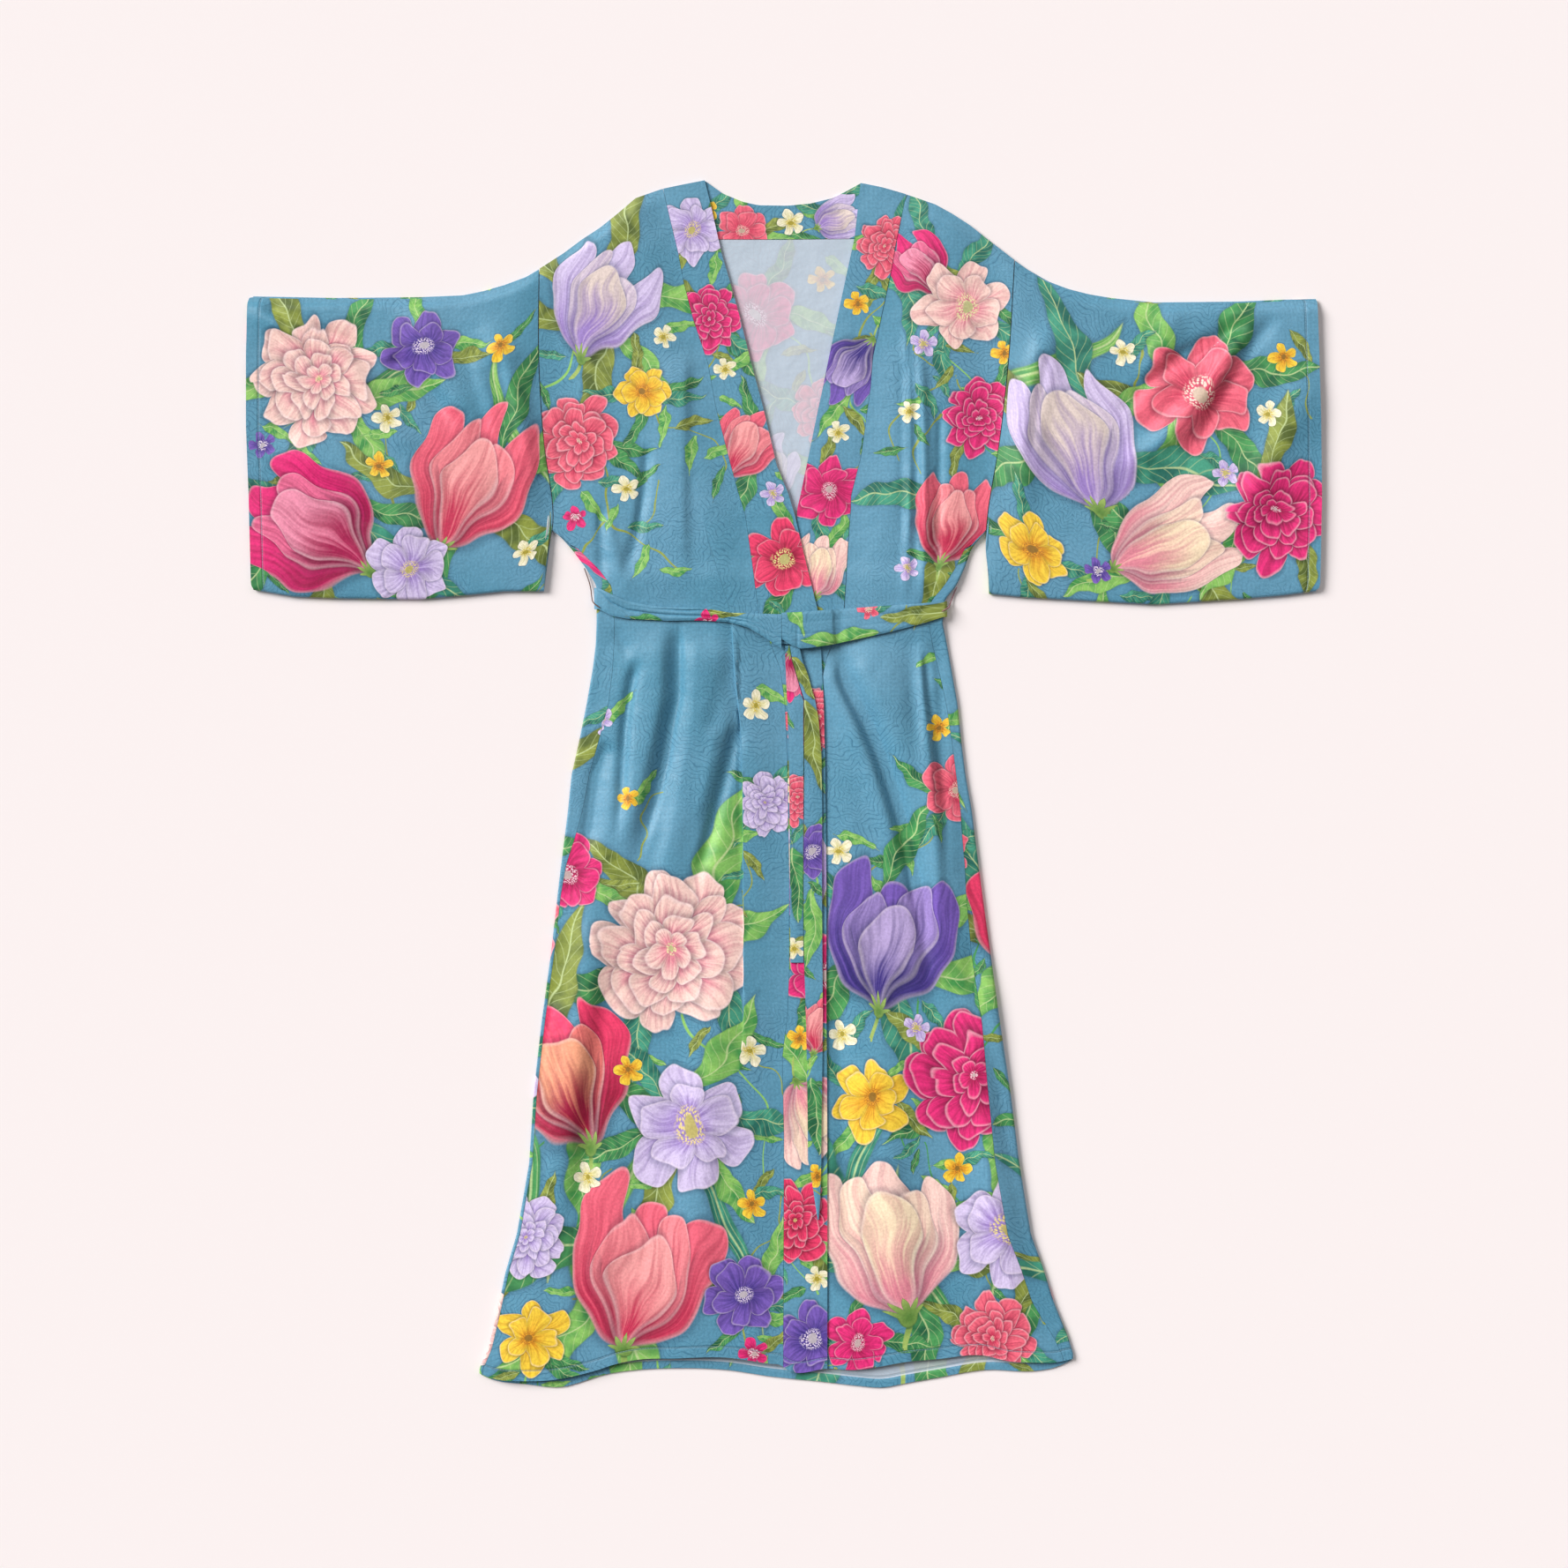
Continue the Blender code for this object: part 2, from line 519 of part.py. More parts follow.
def over_cover(across, down, reach=16.0):
    """Middle height of double cloth that lies on the body, clear of every step near it."""
    places = [cover_up(across + i * reach, down + j * reach)
              for i in (-1, -0.5, 0, 0.5, 1) for j in (-0.4, 0, 0.4)]
    return np.max(places, axis=0) + GAP + DOUBLE_WALL / 2


def belt_wrap(name, run, turn, stations=18):
    """One visible run of the belt: up round the side of the body, then over it to the knot."""
    inward = 1 if turn["outer"] < 0 else -1
    radius = (turn["high"] - turn["low"]) / 2
    centre = turn["outer"] + inward * (DOUBLE_WALL / 2 + radius)
    half = DOUBLE_WALL / 2
    ratio = np.linspace(0, 1, 4)
    width = np.ones(4)
    down = run["upper"][0] + (run["lower"][0] - run["upper"][0]) * ratio
    outer = [np.stack([width * turn["under"], down, width * (turn["low"] - half)], -1)]
    inner = [np.stack([width * turn["under"], down, width * (turn["low"] + half)], -1)]
    for a in np.radians(np.linspace(-90, 90, 7)):
        for skin, reach in ((outer, radius + half), (inner, radius - half)):
            skin.append(np.stack([width * (centre - inward * reach * np.cos(a)), down,
                                  width * (turn["low"] + radius + reach * np.sin(a))], -1))
    order = np.argsort(run["across"])
    for place in np.linspace(run["across"][1], run["across"][-1], stations):
        upper = np.interp(place, run["across"][order], run["upper"][order])
        lower = np.interp(place, run["across"][order], run["lower"][order])
        down = upper + (lower - upper) * ratio
        up = over_cover(width * place, down)
        outer.append(np.stack([width * place, down, up + half], -1))
        inner.append(np.stack([width * place, down, up - half], -1))
    walled(name, outer, inner, BELT_BLUE)


def belt_flat(name, run, up):
    """A run of the belt that lies level: beneath the back, or hidden in the knot."""
    ratio = np.linspace(0, 1, 3)
    down = run["upper"][:, None] + (run["lower"] - run["upper"])[:, None] * ratio
    across = np.broadcast_to(run["across"][:, None], down.shape)
    sheet(name, across, down, np.full(down.shape, up), DOUBLE_WALL, BELT_BLUE)


def belt_tail(name, run):
    """A hanging end of the belt, laid down the front."""
    ratio = np.linspace(0, 1, 3)
    across = run["left"][:, None] + (run["right"] - run["left"])[:, None] * ratio
    down = np.broadcast_to(run["down"][:, None], across.shape)
    up = np.broadcast_to(run["up"][:, None], across.shape)
    sheet(name, across, down, up, DOUBLE_WALL, BELT_BLUE)


def thread_loop(name, route):
    """A belt loop of chained thread."""
    curve = bpy.data.curves.new(name, "CURVE")
    curve.dimensions = "3D"
    curve.bevel_depth = THREAD / 2 * MM
    curve.bevel_resolution = 2
    curve.use_fill_caps = True
    points = world(np.stack([route["across"], route["down"], route["up"]], -1))
    spline = curve.splines.new("POLY")
    spline.points.add(len(points) - 1)
    for point, place in zip(spline.points, points):
        point.co = (*place, 1.0)
    material = bpy.data.materials.new(name + "_thread")
    material.use_nodes = True
    shader = material.node_tree.nodes["Principled BSDF"]
    shader.inputs["Base Color"].default_value = THREAD_BROWN
    shader.inputs["Roughness"].default_value = 0.7
    curve.materials.append(material)
    bpy.context.scene.collection.objects.link(bpy.data.objects.new(name, curve))


def main():
    for obj in list(bpy.data.objects):
        bpy.data.objects.remove(obj, do_unlink=True)
    back_panel()
    for side in ("left", "right"):
        front(side)
        band(side)
        sleeve(side)
    neck_band()
    belt_flat("belt_back", BELT_BACK, DOUBLE_WALL / 2)
    belt_wrap("belt_left", BELT_LEFT, LEFT_TURN)
    belt_wrap("belt_right", BELT_RIGHT, RIGHT_TURN)
    belt_flat("belt_knot", KNOT, KNOT_UP)
    belt_tail("belt_fall", FALL)
    belt_tail("belt_tail_short", TAIL_SHORT)
    belt_tail("belt_tail_long", TAIL_LONG)
    thread_loop("loop_left", LOOP_LEFT)
    thread_loop("loop_right", LOOP_RIGHT)


main()
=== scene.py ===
from functools import partial
import math

import bmesh
import bpy
import numpy as np
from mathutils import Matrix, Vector

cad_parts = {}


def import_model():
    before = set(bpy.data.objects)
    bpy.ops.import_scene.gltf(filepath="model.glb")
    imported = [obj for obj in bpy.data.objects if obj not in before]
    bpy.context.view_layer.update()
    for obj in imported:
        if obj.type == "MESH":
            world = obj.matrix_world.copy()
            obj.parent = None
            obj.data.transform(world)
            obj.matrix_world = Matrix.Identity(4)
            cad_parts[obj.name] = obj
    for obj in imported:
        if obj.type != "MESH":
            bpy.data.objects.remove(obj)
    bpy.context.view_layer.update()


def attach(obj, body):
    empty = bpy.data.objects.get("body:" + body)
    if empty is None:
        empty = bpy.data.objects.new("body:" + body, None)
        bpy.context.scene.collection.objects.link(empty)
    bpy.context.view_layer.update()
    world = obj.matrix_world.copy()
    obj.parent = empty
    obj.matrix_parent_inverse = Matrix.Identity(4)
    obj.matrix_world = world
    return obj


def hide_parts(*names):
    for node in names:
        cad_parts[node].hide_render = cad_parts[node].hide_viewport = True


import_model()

print("frame loaded")

# Lay frame in millimetres: "across" runs right from the robe's middle, "down" runs from the
# neck points to the hem, "up" is height over the surface. World X is across, world Y is against down.
lay = {
    "middleDown": 684.0,
    "cloth": 0.8,           # wall of one layer, with a little loft
    "doubleCloth": 1.6,
    "gap": 0.3,
    "armholeGap": 0.85,
    "neckPoint": 139.0,
    "neckCorners": (-94.0, 92.0),
    "neckBandEnd": 130.0,
    "underarmDown": 398.0,
    "curlRows": (392, 404, 416),    # where the back begins to turn round the side edges, and how far
    "curlDegrees": (0, 110, 180),
    "rowsTop": 60.0,
    "rowsBottom": 1345.0,
    "hemRow": 1337.0,       # below this row the back's hem is turned up, and thicker
    "turnUp": 0.7,
    "topFade": 260.0,
    "bottomFade": 150.0,
    "floorCloth": 0.6,      # middle of the lower layer over the floor
    "turnIn": 0.6,          # how far in from an edge the back's turn starts
    "sideRise": 3.6,
    "leftBandRise": 5.6,
    "rightBandRise": 3.2,
    "crossing": (290.0, 380.0),     # where the left band begins to lie on the right one
    "neckRise": 2.9,
    "leastRise": 1.65,
    "leastInSleeve": 2.8,
    "beltFlat": (452.0, 502.0),
    "beltClear": (430.0, 526.0),
    "beltLift": 2.35,
    "beltMiddle": 490.0,
    "beltCinch": 30.0,
    "grid": 5.0,            # spacing of the mesh over the panels
    "loft": 3.2,            # how much the upper layer billows away from its seams
    "seamEase": 45.0,       # how far in from a seam it is fully lofted
    "topEase": 14.0,
    "foldDepth": 1.35,
    "creaseDepth": 2.1,
    "foldFades": (0.12, 0.3, 0.45),     # shares of a fold: past its ends, and how it rises and dies
    "creaseReach": 45.0,    # a crease counts no farther off than this
    "creaseFades": (0.12, 0.35),
    "bandBelly": 0.35,
    "bandWave": (0.25, 61.0, 5.0),      # height, and how fast it runs down and across the band
    "hemStitch": 12.0,
    "cuffStitch": 14.0,
    "columns": {"front": 112, "toFold": 92, "pastFold": 24, "band": 14, "sleeve": 110},
    "sleeveRows": 96,
    "sleeveEnds": (131.0, 470.0),       # first guesses of its top and bottom
    "sleeveFoot": 394.0,    # the inside of its last ring ends here, at the underarm
}
knife = {      # the fold pressed into the left front
    "start": (486.0, 40.0),     # how far down it starts and ends, each with the length of its fade
    "end": (1010.0, 170.0),
    "deep": 2.2,
    "deeper": (2.4, 660.0, 90.0),   # by how much more, where, and how far from there
    "ridge": (0.5, 14.0),   # height and width of the edge that lies over
    "tuck": 16.0,           # cloth hidden in the fold, and where it starts and ends
    "tuckStart": (300.0, 150.0),
    "tuckEnd": (1060.0, 200.0),
    "beside": (0.7, 20.0),  # least room to the nearest points, and to the band's seam
}
inwardOf = {"left": 1, "right": -1}


# A table of points: the names of its columns, then its rows with commas between them.
def columnsOf(names, text):
    return dict(zip(names.split(), np.array([row.split() for row in text.split(",")], float).T))


topEdgeLine = columnsOf("across down", """
    -609 131, -556 132, -508 133, -412 132, -364 130, -340 125, -316 118, -292 109, -277 100, -249 82,
    -229 67, -209 54, -189 38, -168 20, -139 10, -90 0, -69 15, -47 24, -29 28, 4 28.5, 30 26, 55 20, 71 12,
    87 3, 111 8, 139 16, 171 27, 191 38, 211 51, 231 67, 261 90, 275 100, 299 114, 323 123, 347 129,
    371 133, 419 138, 515 137, 563 135, 609 134
""")
backNeckLine = columnsOf("across down", """
    -139 10, -124 40, -106 62, -94 67, 0 67, 92 66, 106 60, 124 40, 139 16
""")
armholeLine = columnsOf("down left right", """
    88 -277 261, 214 -277 253, 294 -272 244, 394 -262 229, 419 -266 228, 439 -269 230, 482 -272 232
""")
sideEdgeLine = columnsOf("down left right", """
    394 -261 228, 419 -240 212, 439 -225 205, 452 -217 199, 460 -212.5 195, 476 -212.5 182, 502 -212.5 180,
    526 -213.5 185, 554 -217 190, 594 -224 197, 634 -232 201, 674 -241 206, 714 -245 213, 794 -255 223,
    874 -264 234, 954 -275 245, 1034 -284 257, 1114 -289 267, 1194 -303 280, 1234 -316 294, 1274 -325 306,
    1314 -335 321, 1339 -345 328, 1372 -347 328
""")
seamInsetLine = columnsOf("down left right", """
    394 4 4, 419 8 8, 441 14 11, 460 17 14, 480 20 15, 526 21 17, 572 24 14, 594 25 13, 640 22 11,
    676 20 11, 712 17 13, 745 12 15, 775 6 16, 810 4 19, 874 4 22, 954 4 21, 1034 4 26, 1114 4 28,
    1194 4 27, 1274 4 25, 1320 4 15, 1372 4 8
""")
bandLines = {
    "left": columnsOf("down seam free", """
        0 -139 -90, 28 -133 -83, 82 -120 -71, 116 -113.5 -61, 157 -103 -49.5, 208 -86 -37, 256 -77.5 -24,
        324 -60 -8, 353 -52 4, 379 -44 12, 434 -36 25, 489 -29 38.5, 534 -12 42, 554 -4 43, 594 1 45,
        664 4 46.5, 794 6 48, 894 6 48, 945 4 48, 994 -2 48.5, 1084 0 49, 1372 -1 49
    """),
    "right": columnsOf("down free seam", """
        0 87 142, 65 80 128, 106 71 120.6, 200 51 100.6, 235 44 98, 267 37 93.6, 312 28 87.5, 357 18.5 76,
        372 15 75.5, 409 14 72.7, 485 12 68, 514 7 59, 539 -3 49, 574 -11 41, 794 -16 36, 1372 -16 36
    """),
}
sleeveBottomLine = columnsOf("across down", """
    -609 463, -556 472, -508 474, -412 475, -364 471, -316 466, -272 466, 232 469, 275 473, 347 477,
    419 481, 467 478, 515 475, 563 471, 609 465
""")
cuffLine = columnsOf("down left right", """
    131 -601 598, 133 -605.5 602, 138 -607.5 604, 199 -609 606, 279 -609 608, 359 -606 609, 457 -603.5 607,
    464 -601.5 605, 468 -597 600, 482 -590 593
""")
frontHemLine = columnsOf("across down", """
    -347 1351, -331 1357, -293 1360, -257 1358, -228 1352, -210 1347, -192 1341, -168 1336, -123 1334,
    -65 1333, -18 1340, -2 1343, 2 1346, 49 1346, 83 1347, 105 1344, 139 1338, 173 1335, 227 1331, 252 1337,
    286 1339, 308 1339, 328 1335
""")
backHemLine = columnsOf("across down", """
    -347 1352, -331 1359, -293 1364, -249 1367, -228 1361, -210 1355, -168 1348, -123 1346, -65 1348,
    -18 1355, 49 1362, 83 1366, 111 1368, 139 1363, 173 1357, 227 1348, 286 1349, 308 1345, 328 1336
""")
# Pressed fold down the left front beside its band: the cloth right of this line lies over it.
knifeFoldLine = columnsOf("down across", """
    0 -185, 250 -130, 434 -78, 490 -60, 560 -56, 612 -50, 654 -47.5, 854 -46, 966 -46, 1100 -62, 1372 -84
""")
# Folds, each from one end to the other. A positive height is a ridge, a negative one a trough.
folds = columnsOf("across0 down0 across1 down1 bow width height", """
    -127 505 -142 770 4 12 -1.2, -58 540 -112 810 -8 12 -1.8, -200 380 -176 470 -3 8 1.8,
    60 530 170 960 22 11 -1.9, 92 520 192 900 20 25 4.8, 150 520 178 880 4 10 3, 172 512 182 830 3 7 -1.6,
    138 190 136 478 2 5 3.2, 154 200 158 470 2 7 3.8, -215 820 -262 1150 6 24 5.5,
    -70 880 -110 1320 -6 30 5, 225 900 262 1290 -6 22 5.5, 110 960 120 1330 5 30 5,
    -596 150 -455 262 18 14 6, -330 170 -292 380 8 18 6.5, -560 300 -400 440 16 22 5,
    -420 150 -350 300 8 20 4, 520 160 380 330 20 15 6.5, 590 230 470 420 16 22 5, 300 170 270 380 -8 18 6,
    440 150 400 250 6 18 3.5
""")
# Finer creases: widths before and after the line, height, then the points that it runs through.
def creaseOf(text):
    (before, after, height), *points = ([float(v) for v in row.split()] for row in text.split(","))
    return before, after, height, np.array(points)


creases = [creaseOf(text) for text in """
    7 6 -2.9, -163 540, -170 561, -175 584, -178 604, -180 624, -182 660, -184 700, -192 760;
    27 15 3.3, -141 498, -141 560, -142 590, -153 634, -165 684, -176 730, -190 800;
    15 48 2.9, -97 498, -98 560, -101 600, -107 640, -114 680, -124 730, -137 800, -150 880;
    5 9 -1.4, -193 507, -184 524, -174 543;
    12 5 -3.1, -119 490, -119 540, -119 584, -128 622, -134 659, -143 696, -156 740, -170 790;
    8 9 -3.2, -52 612, -60 644, -70 686, -88 756, -108 820;
    14 8 1.6, -78 616, -90 680, -108 750;
    8 13 -2.4, -197 632, -206 656, -214 676, -219 720, -228 780;
    4 6 -1.8, -208 368, -207 462;
    5 6 -2, -155 296, -158 350, -165 392, -173 424, -184 450, -194 470;
    30 8 1.9, -113 190, -116 330, -115 486;
    8 9 -3.9, 61 532, 67 566, 78 586, 93 612, 108 646, 124 692, 138 740, 154 820, 168 930;
    14 9 2.4, 46 536, 66 592, 94 656, 118 730, 138 820;
    10 12 1.1, 82 540, 100 580, 124 630, 146 690;
    12 8 -1.5, 146 508, 148 560, 150 610, 156 660;
    4 6 -2.2, 159 530, 163 583, 170 633, 176 683, 184 740;
    7 3.5 -1.7, 138 189, 139 300, 137 400, 136 476;
    5 5 -1.4, 151 230, 152 360, 150 476;
    5 5 -1.4, 177 250, 176 360, 172 476;
    10 9 -3.3, -592 137, -562 157, -522 173, -490 188, -456 206;
    11 9 -2.8, -446 196, -424 218, -398 246, -368 284;
    12 12 1.2, -480 240, -450 272, -410 318;
    9 6 -1.8, -329 194, -312 250, -296 320, -289 354;
    8 8 1.5, -350 200, -330 270, -318 340;
    10 9 -3.4, 532 158, 488 182, 440 208, 404 236, 372 276;
    9 9 -1.6, 560 150, 520 200, 486 262, 450 330;
    9 6 -1.8, 300 190, 286 260, 276 340;
    14 8 -2.2, -262 900, -280 1000, -292 1120;
    12 14 -2, -200 900, -222 1060, -240 1240;
    10 14 -1.8, 60 900, 66 1050, 72 1250;
    12 10 -2, 206 860, 236 1000, 262 1160
""".split(";")]


# Points from their coordinates, each an array or one number.
def pointsOf(*parts):
    return np.stack(np.broadcast_arrays(*parts), -1)


def smoothLine(xs, ys, at):
    at = np.clip(np.asarray(at, float), xs[0], xs[-1])
    slope = np.gradient(ys, xs)
    i = np.clip(np.searchsorted(xs, at, side="right") - 1, 0, len(xs) - 2)
    span = xs[i + 1] - xs[i]
    t = (at - xs[i]) / span
    return ((1 + 2 * t) * (1 - t) ** 2 * ys[i] + t * (1 - t) ** 2 * span * slope[i]
            + t * t * (3 - 2 * t) * ys[i + 1] + t * t * (t - 1) * span * slope[i + 1])


# A table's column at any place along it, straight between its rows.
def onLine(line, column, at, along="down"):
    return np.interp(at, line[along], line[column])


def ease(value):
    t = np.clip(value, 0.0, 1.0)
    return t * t * (3 - 2 * t)


def bell(away, width):
    return np.exp(-(away / width) ** 2)


def topEdge(across):
    return onLine(topEdgeLine, "down", across, "across")


def backTop(across):
    neck = onLine(backNeckLine, "down", across, "across")
    return np.where(np.abs(across) < lay["neckPoint"], neck, topEdge(across))


def frontHem(across):
    return smoothLine(frontHemLine["across"], frontHemLine["down"], across)


def backHem(across):
    return smoothLine(backHemLine["across"], backHemLine["down"], across)


def armhole(side, down):
    return smoothLine(armholeLine["down"], armholeLine[side], down)


def sideEdge(side, down):
    return onLine(sideEdgeLine, side, down)


def sideSeam(side, down):
    return sideEdge(side, down) + inwardOf[side] * onLine(seamInsetLine, side, down)


def bandEdge(side, edge, down):
    return onLine(bandLines[side], edge, down)


# Where a point of a row of the mesh lies: rows bend to the top edge and to the hem.
def layDown(row, across, top, bottom):
    nearTop = np.clip(1 - (row - lay["rowsTop"]) / lay["topFade"], 0, 1)
    nearHem = np.clip(1 - (lay["rowsBottom"] - row) / lay["bottomFade"], 0, 1)
    return (row + (top(across) - lay["rowsTop"]) * nearTop
            + (bottom(across) - lay["rowsBottom"]) * nearHem)


# Middle of the lower layer over the floor: it lies on the belt's run under the back.
def lowerUp(down):
    (clearTop, clearEnd), (flatTop, flatEnd) = lay["beltClear"], lay["beltFlat"]
    rising = (down - clearTop) / (flatTop - clearTop)
    falling = (clearEnd - down) / (clearEnd - flatEnd)
    return lay["floorCloth"] + lay["beltLift"] * np.clip(np.minimum(rising, falling), 0, 1)


def cinched(down):
    return 1 - 0.8 * bell(down - lay["beltMiddle"], lay["beltCinch"])


def creaseShape(across, down, before, after, points):
    steps = np.diff(points, axis=0)
    spans = np.hypot(*steps.T)
    starts = np.append(0, np.cumsum(spans))
    low, high = points.min(0) - lay["creaseReach"], points.max(0) + lay["creaseReach"]
    shape = np.zeros(np.broadcast(across, down).shape)
    near = np.broadcast_to((across > low[0]) & (across < high[0]) & (down > low[1]) & (down < high[1]),
                           shape.shape)
    if not near.any():
        return shape
    x, y = (np.broadcast_to(v, shape.shape)[near] for v in (across, down))
    best, aside, run = np.full(x.shape, 1e9), np.zeros(x.shape), np.zeros(x.shape)
    for (x0, y0), (dx, dy), span, start in zip(points[:-1], steps, spans, starts):
        t = np.clip(((x - x0) * dx + (y - y0) * dy) / span ** 2, 0, 1)
        away = np.hypot(x - x0 - t * dx, y - y0 - t * dy)
        closer = away < best
        best = np.where(closer, away, best)
        # positive on the right of a crease that runs down the cloth
        aside = np.where(closer, np.copysign(away, (x - x0) * dy - (y - y0) * dx), aside)
        run = np.where(closer, start + t * span, run)
    fadeIn, fadeOut = lay["creaseFades"]
    fade = ease(run / starts[-1] / fadeIn) * ease((starts[-1] - run) / starts[-1] / fadeOut)
    shape[near] = fade * bell(aside, np.where(aside < 0, before, after))
    return shape


def foldHeight(across, down):
    total = np.zeros(np.broadcast(across, down).shape)
    past, rising, dying = lay["foldFades"]
    for x0, y0, x1, y1, bow, width, height in zip(*folds.values()):
        dx, dy = x1 - x0, y1 - y0
        length = math.hypot(dx, dy)
        along = ((across - x0) * dx + (down - y0) * dy) / length ** 2
        aside = ((across - x0) * dy - (down - y0) * dx) / length
        bowed = aside - bow * 4 * along * (1 - along)
        taper = ease((along + past) / rising) * ease((1 + past - along) / dying)
        total += lay["foldDepth"] * height * taper * bell(bowed, width)
    for before, after, height, points in creases:
        total += lay["creaseDepth"] * height * creaseShape(across, down, before, after, points)
    return total * cinched(down)


# Height of a front or its band over the lower layer, where the cloth lies smooth.
def level(side, across, down):
    high = lay["rightBandRise"]
    if side == "left":      # it rises where it crosses the right front, below the open neck
        start, end = lay["crossing"]
        high = high + (lay["leftBandRise"] - high) * ease((down - start) / (end - start))
    near = ease((160 + inwardOf[side] * across) / 100)
    return lay["sideRise"] + (high - lay["sideRise"]) * near


def knifeStep(across, down):
    (start, startFade), (end, endFade) = knife["start"], knife["end"]
    more, moreAt, moreWide = knife["deeper"]
    ridge, ridgeWide = knife["ridge"]
    aside = across - onLine(knifeFoldLine, "across", down)
    deep = knife["deep"] + more * bell(down - moreAt, moreWide)
    sunk = -deep * bell(np.minimum(aside, 0), 8 + 1.6 * deep)
    strength = ease((down - start) / startFade) * ease((end - down) / endFade)
    return strength * np.where(aside < 0, sunk, ridge * bell(aside, ridgeWide))


# Height of a front or a sleeve's upper layer over the lower one, with its loft and folds.
def rise(side, across, down, least=lay["leastRise"]):
    inside = np.clip((down - topEdge(across)) / lay["topEase"], 0, 1)
    fromSeam = abs(across - bandEdge(side, "seam", down))
    fromSide = abs(across - sideEdge(side, down))
    loft = (lay["loft"] * ease(fromSeam / lay["seamEase"]) * ease(fromSide / lay["seamEase"])
            * cinched(down))
    lofted = level(side, across, down) + (loft + foldHeight(across, down)) * ease(inside)
    if side == "left":
        lofted = lofted + knifeStep(across, down)
    return np.maximum(least + (lofted - least) * ease(0.25 + 0.75 * inside), least)


def world(points):
    across, down, up = np.moveaxis(np.asarray(points, float), -1, 0)
    return pointsOf(across, lay["middleDown"] - down, up) * 0.001


def meshOf(name, points, faces):
    mesh = bpy.data.meshes.new(name)
    mesh.from_pydata(world(points).tolist(), [], faces)
    bm = bmesh.new()
    bm.from_mesh(mesh)
    bmesh.ops.recalc_face_normals(bm, faces=bm.faces)
    bm.to_mesh(mesh)
    bm.free()
    mesh.shade_smooth()
    return mesh


def writeVectors(mesh, name, domain, values):
    mesh.attributes.new(name, "FLOAT_VECTOR", domain).data.foreach_set("vector", values.ravel())


def objectOf(name, data):
    obj = bpy.data.objects.new(name, data)
    bpy.context.scene.collection.objects.link(obj)
    return obj


def pieceOf(mesh, node):
    obj = objectOf(mesh.name, mesh)
    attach(obj, "root")
    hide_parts(node)
    return obj


# Cloth is laid as two grids of points, its face and its reverse, joined round its edges.
def clothShell(node, face, reverse, printAt, ring=False, turned=None, stitchAt=None):
    rows, cols = face.shape[:2]
    count = rows * cols
    index = np.arange(count).reshape(rows, cols)
    nextCol = np.roll(index, -1, 1) if ring else index[:, 1:]
    thisCol = index if ring else index[:, :-1]
    quads = np.stack([thisCol[:-1], thisCol[1:], nextCol[1:], nextCol[:-1]], -1).reshape(-1, 4)
    rims = [(thisCol[0], nextCol[0], 1), (thisCol[-1], nextCol[-1], -1)]
    if not ring:
        rims += [(index[:-1, 0], index[1:, 0], -1), (index[:-1, -1], index[1:, -1], 1)]
    faces = np.concatenate([quads, quads[:, ::-1] + count] + [
        np.stack([a, b, b + count, a + count], -1)[:, ::way] for a, b, way in rims])
    points = np.concatenate([face.reshape(-1, 3), reverse.reshape(-1, 3)])
    mesh = meshOf(node + "Cloth", points, faces.tolist())
    mesh.set_sharp_from_angle(angle=math.radians(50))
    corners = np.zeros(len(mesh.loops), np.int32)
    mesh.loops.foreach_get("vertex_index", corners)
    flat = np.zeros((len(faces), 4, 3), np.float32)
    flat[..., :2] = np.concatenate([printAt.reshape(-1, 2)] * 2)[corners].reshape(-1, 4, 2)
    # where a ring closes, the print runs on past its start
    reached = flat[..., 1].max(1, keepdims=True)
    flat[..., 1] = np.where(flat[..., 1] < reached - 300, reached + lay["grid"], flat[..., 1])
    writeVectors(mesh, "cloth", "CORNER", flat)
    mesh.uv_layers.new(name="clothMap").data.foreach_set("uv", (flat[..., :2] * 0.001).ravel())
    # millimetres to the line of hem stitches, and along it
    sewn = np.full((2 * count, 3), 99.0, np.float32)
    if stitchAt is not None:
        sewn[:, :2] = np.concatenate([stitchAt.reshape(-1, 2)] * 2)
    writeVectors(mesh, "stitch", "POINT", sewn)
    # 1 where a face shows the reverse of the cloth
    wrong = np.zeros(len(faces), np.float32)
    wrong[len(quads):2 * len(quads)] = 1 if turned is None else 1 - turned.ravel()
    mesh.attributes.new("reverse", "FLOAT", "FACE").data.foreach_set("value", wrong)
    return pieceOf(mesh, node)


def panel(node, across, down, up, thickness, printAt=None, stitchAt=None):
    half = thickness / 2
    printAt = pointsOf(across, down) if printAt is None else printAt
    return clothShell(node, pointsOf(across, down, up + half), pointsOf(across, down, up - half), printAt,
                      stitchAt=stitchAt)


def hemStitch(across, down):
    return pointsOf(frontHem(across) - down - lay["hemStitch"], across)


def rowsOf(*parts):
    return np.unique(np.round(np.concatenate(parts), 1))


rowsBody = rowsOf(np.arange(60, 392, lay["grid"]), np.arange(388, 422, 3.0),
                  np.arange(422, 1333, lay["grid"]), [1333, 1336.5, 1337.2, 1340, 1343, 1345])
rowsFront = rowsOf(np.arange(60, 1333, 4.2), [1331, 1333, 1335.5, 1338, 1341, 1345])


def curl(row):
    return math.radians(float(np.interp(row, lay["curlRows"], lay["curlDegrees"])))


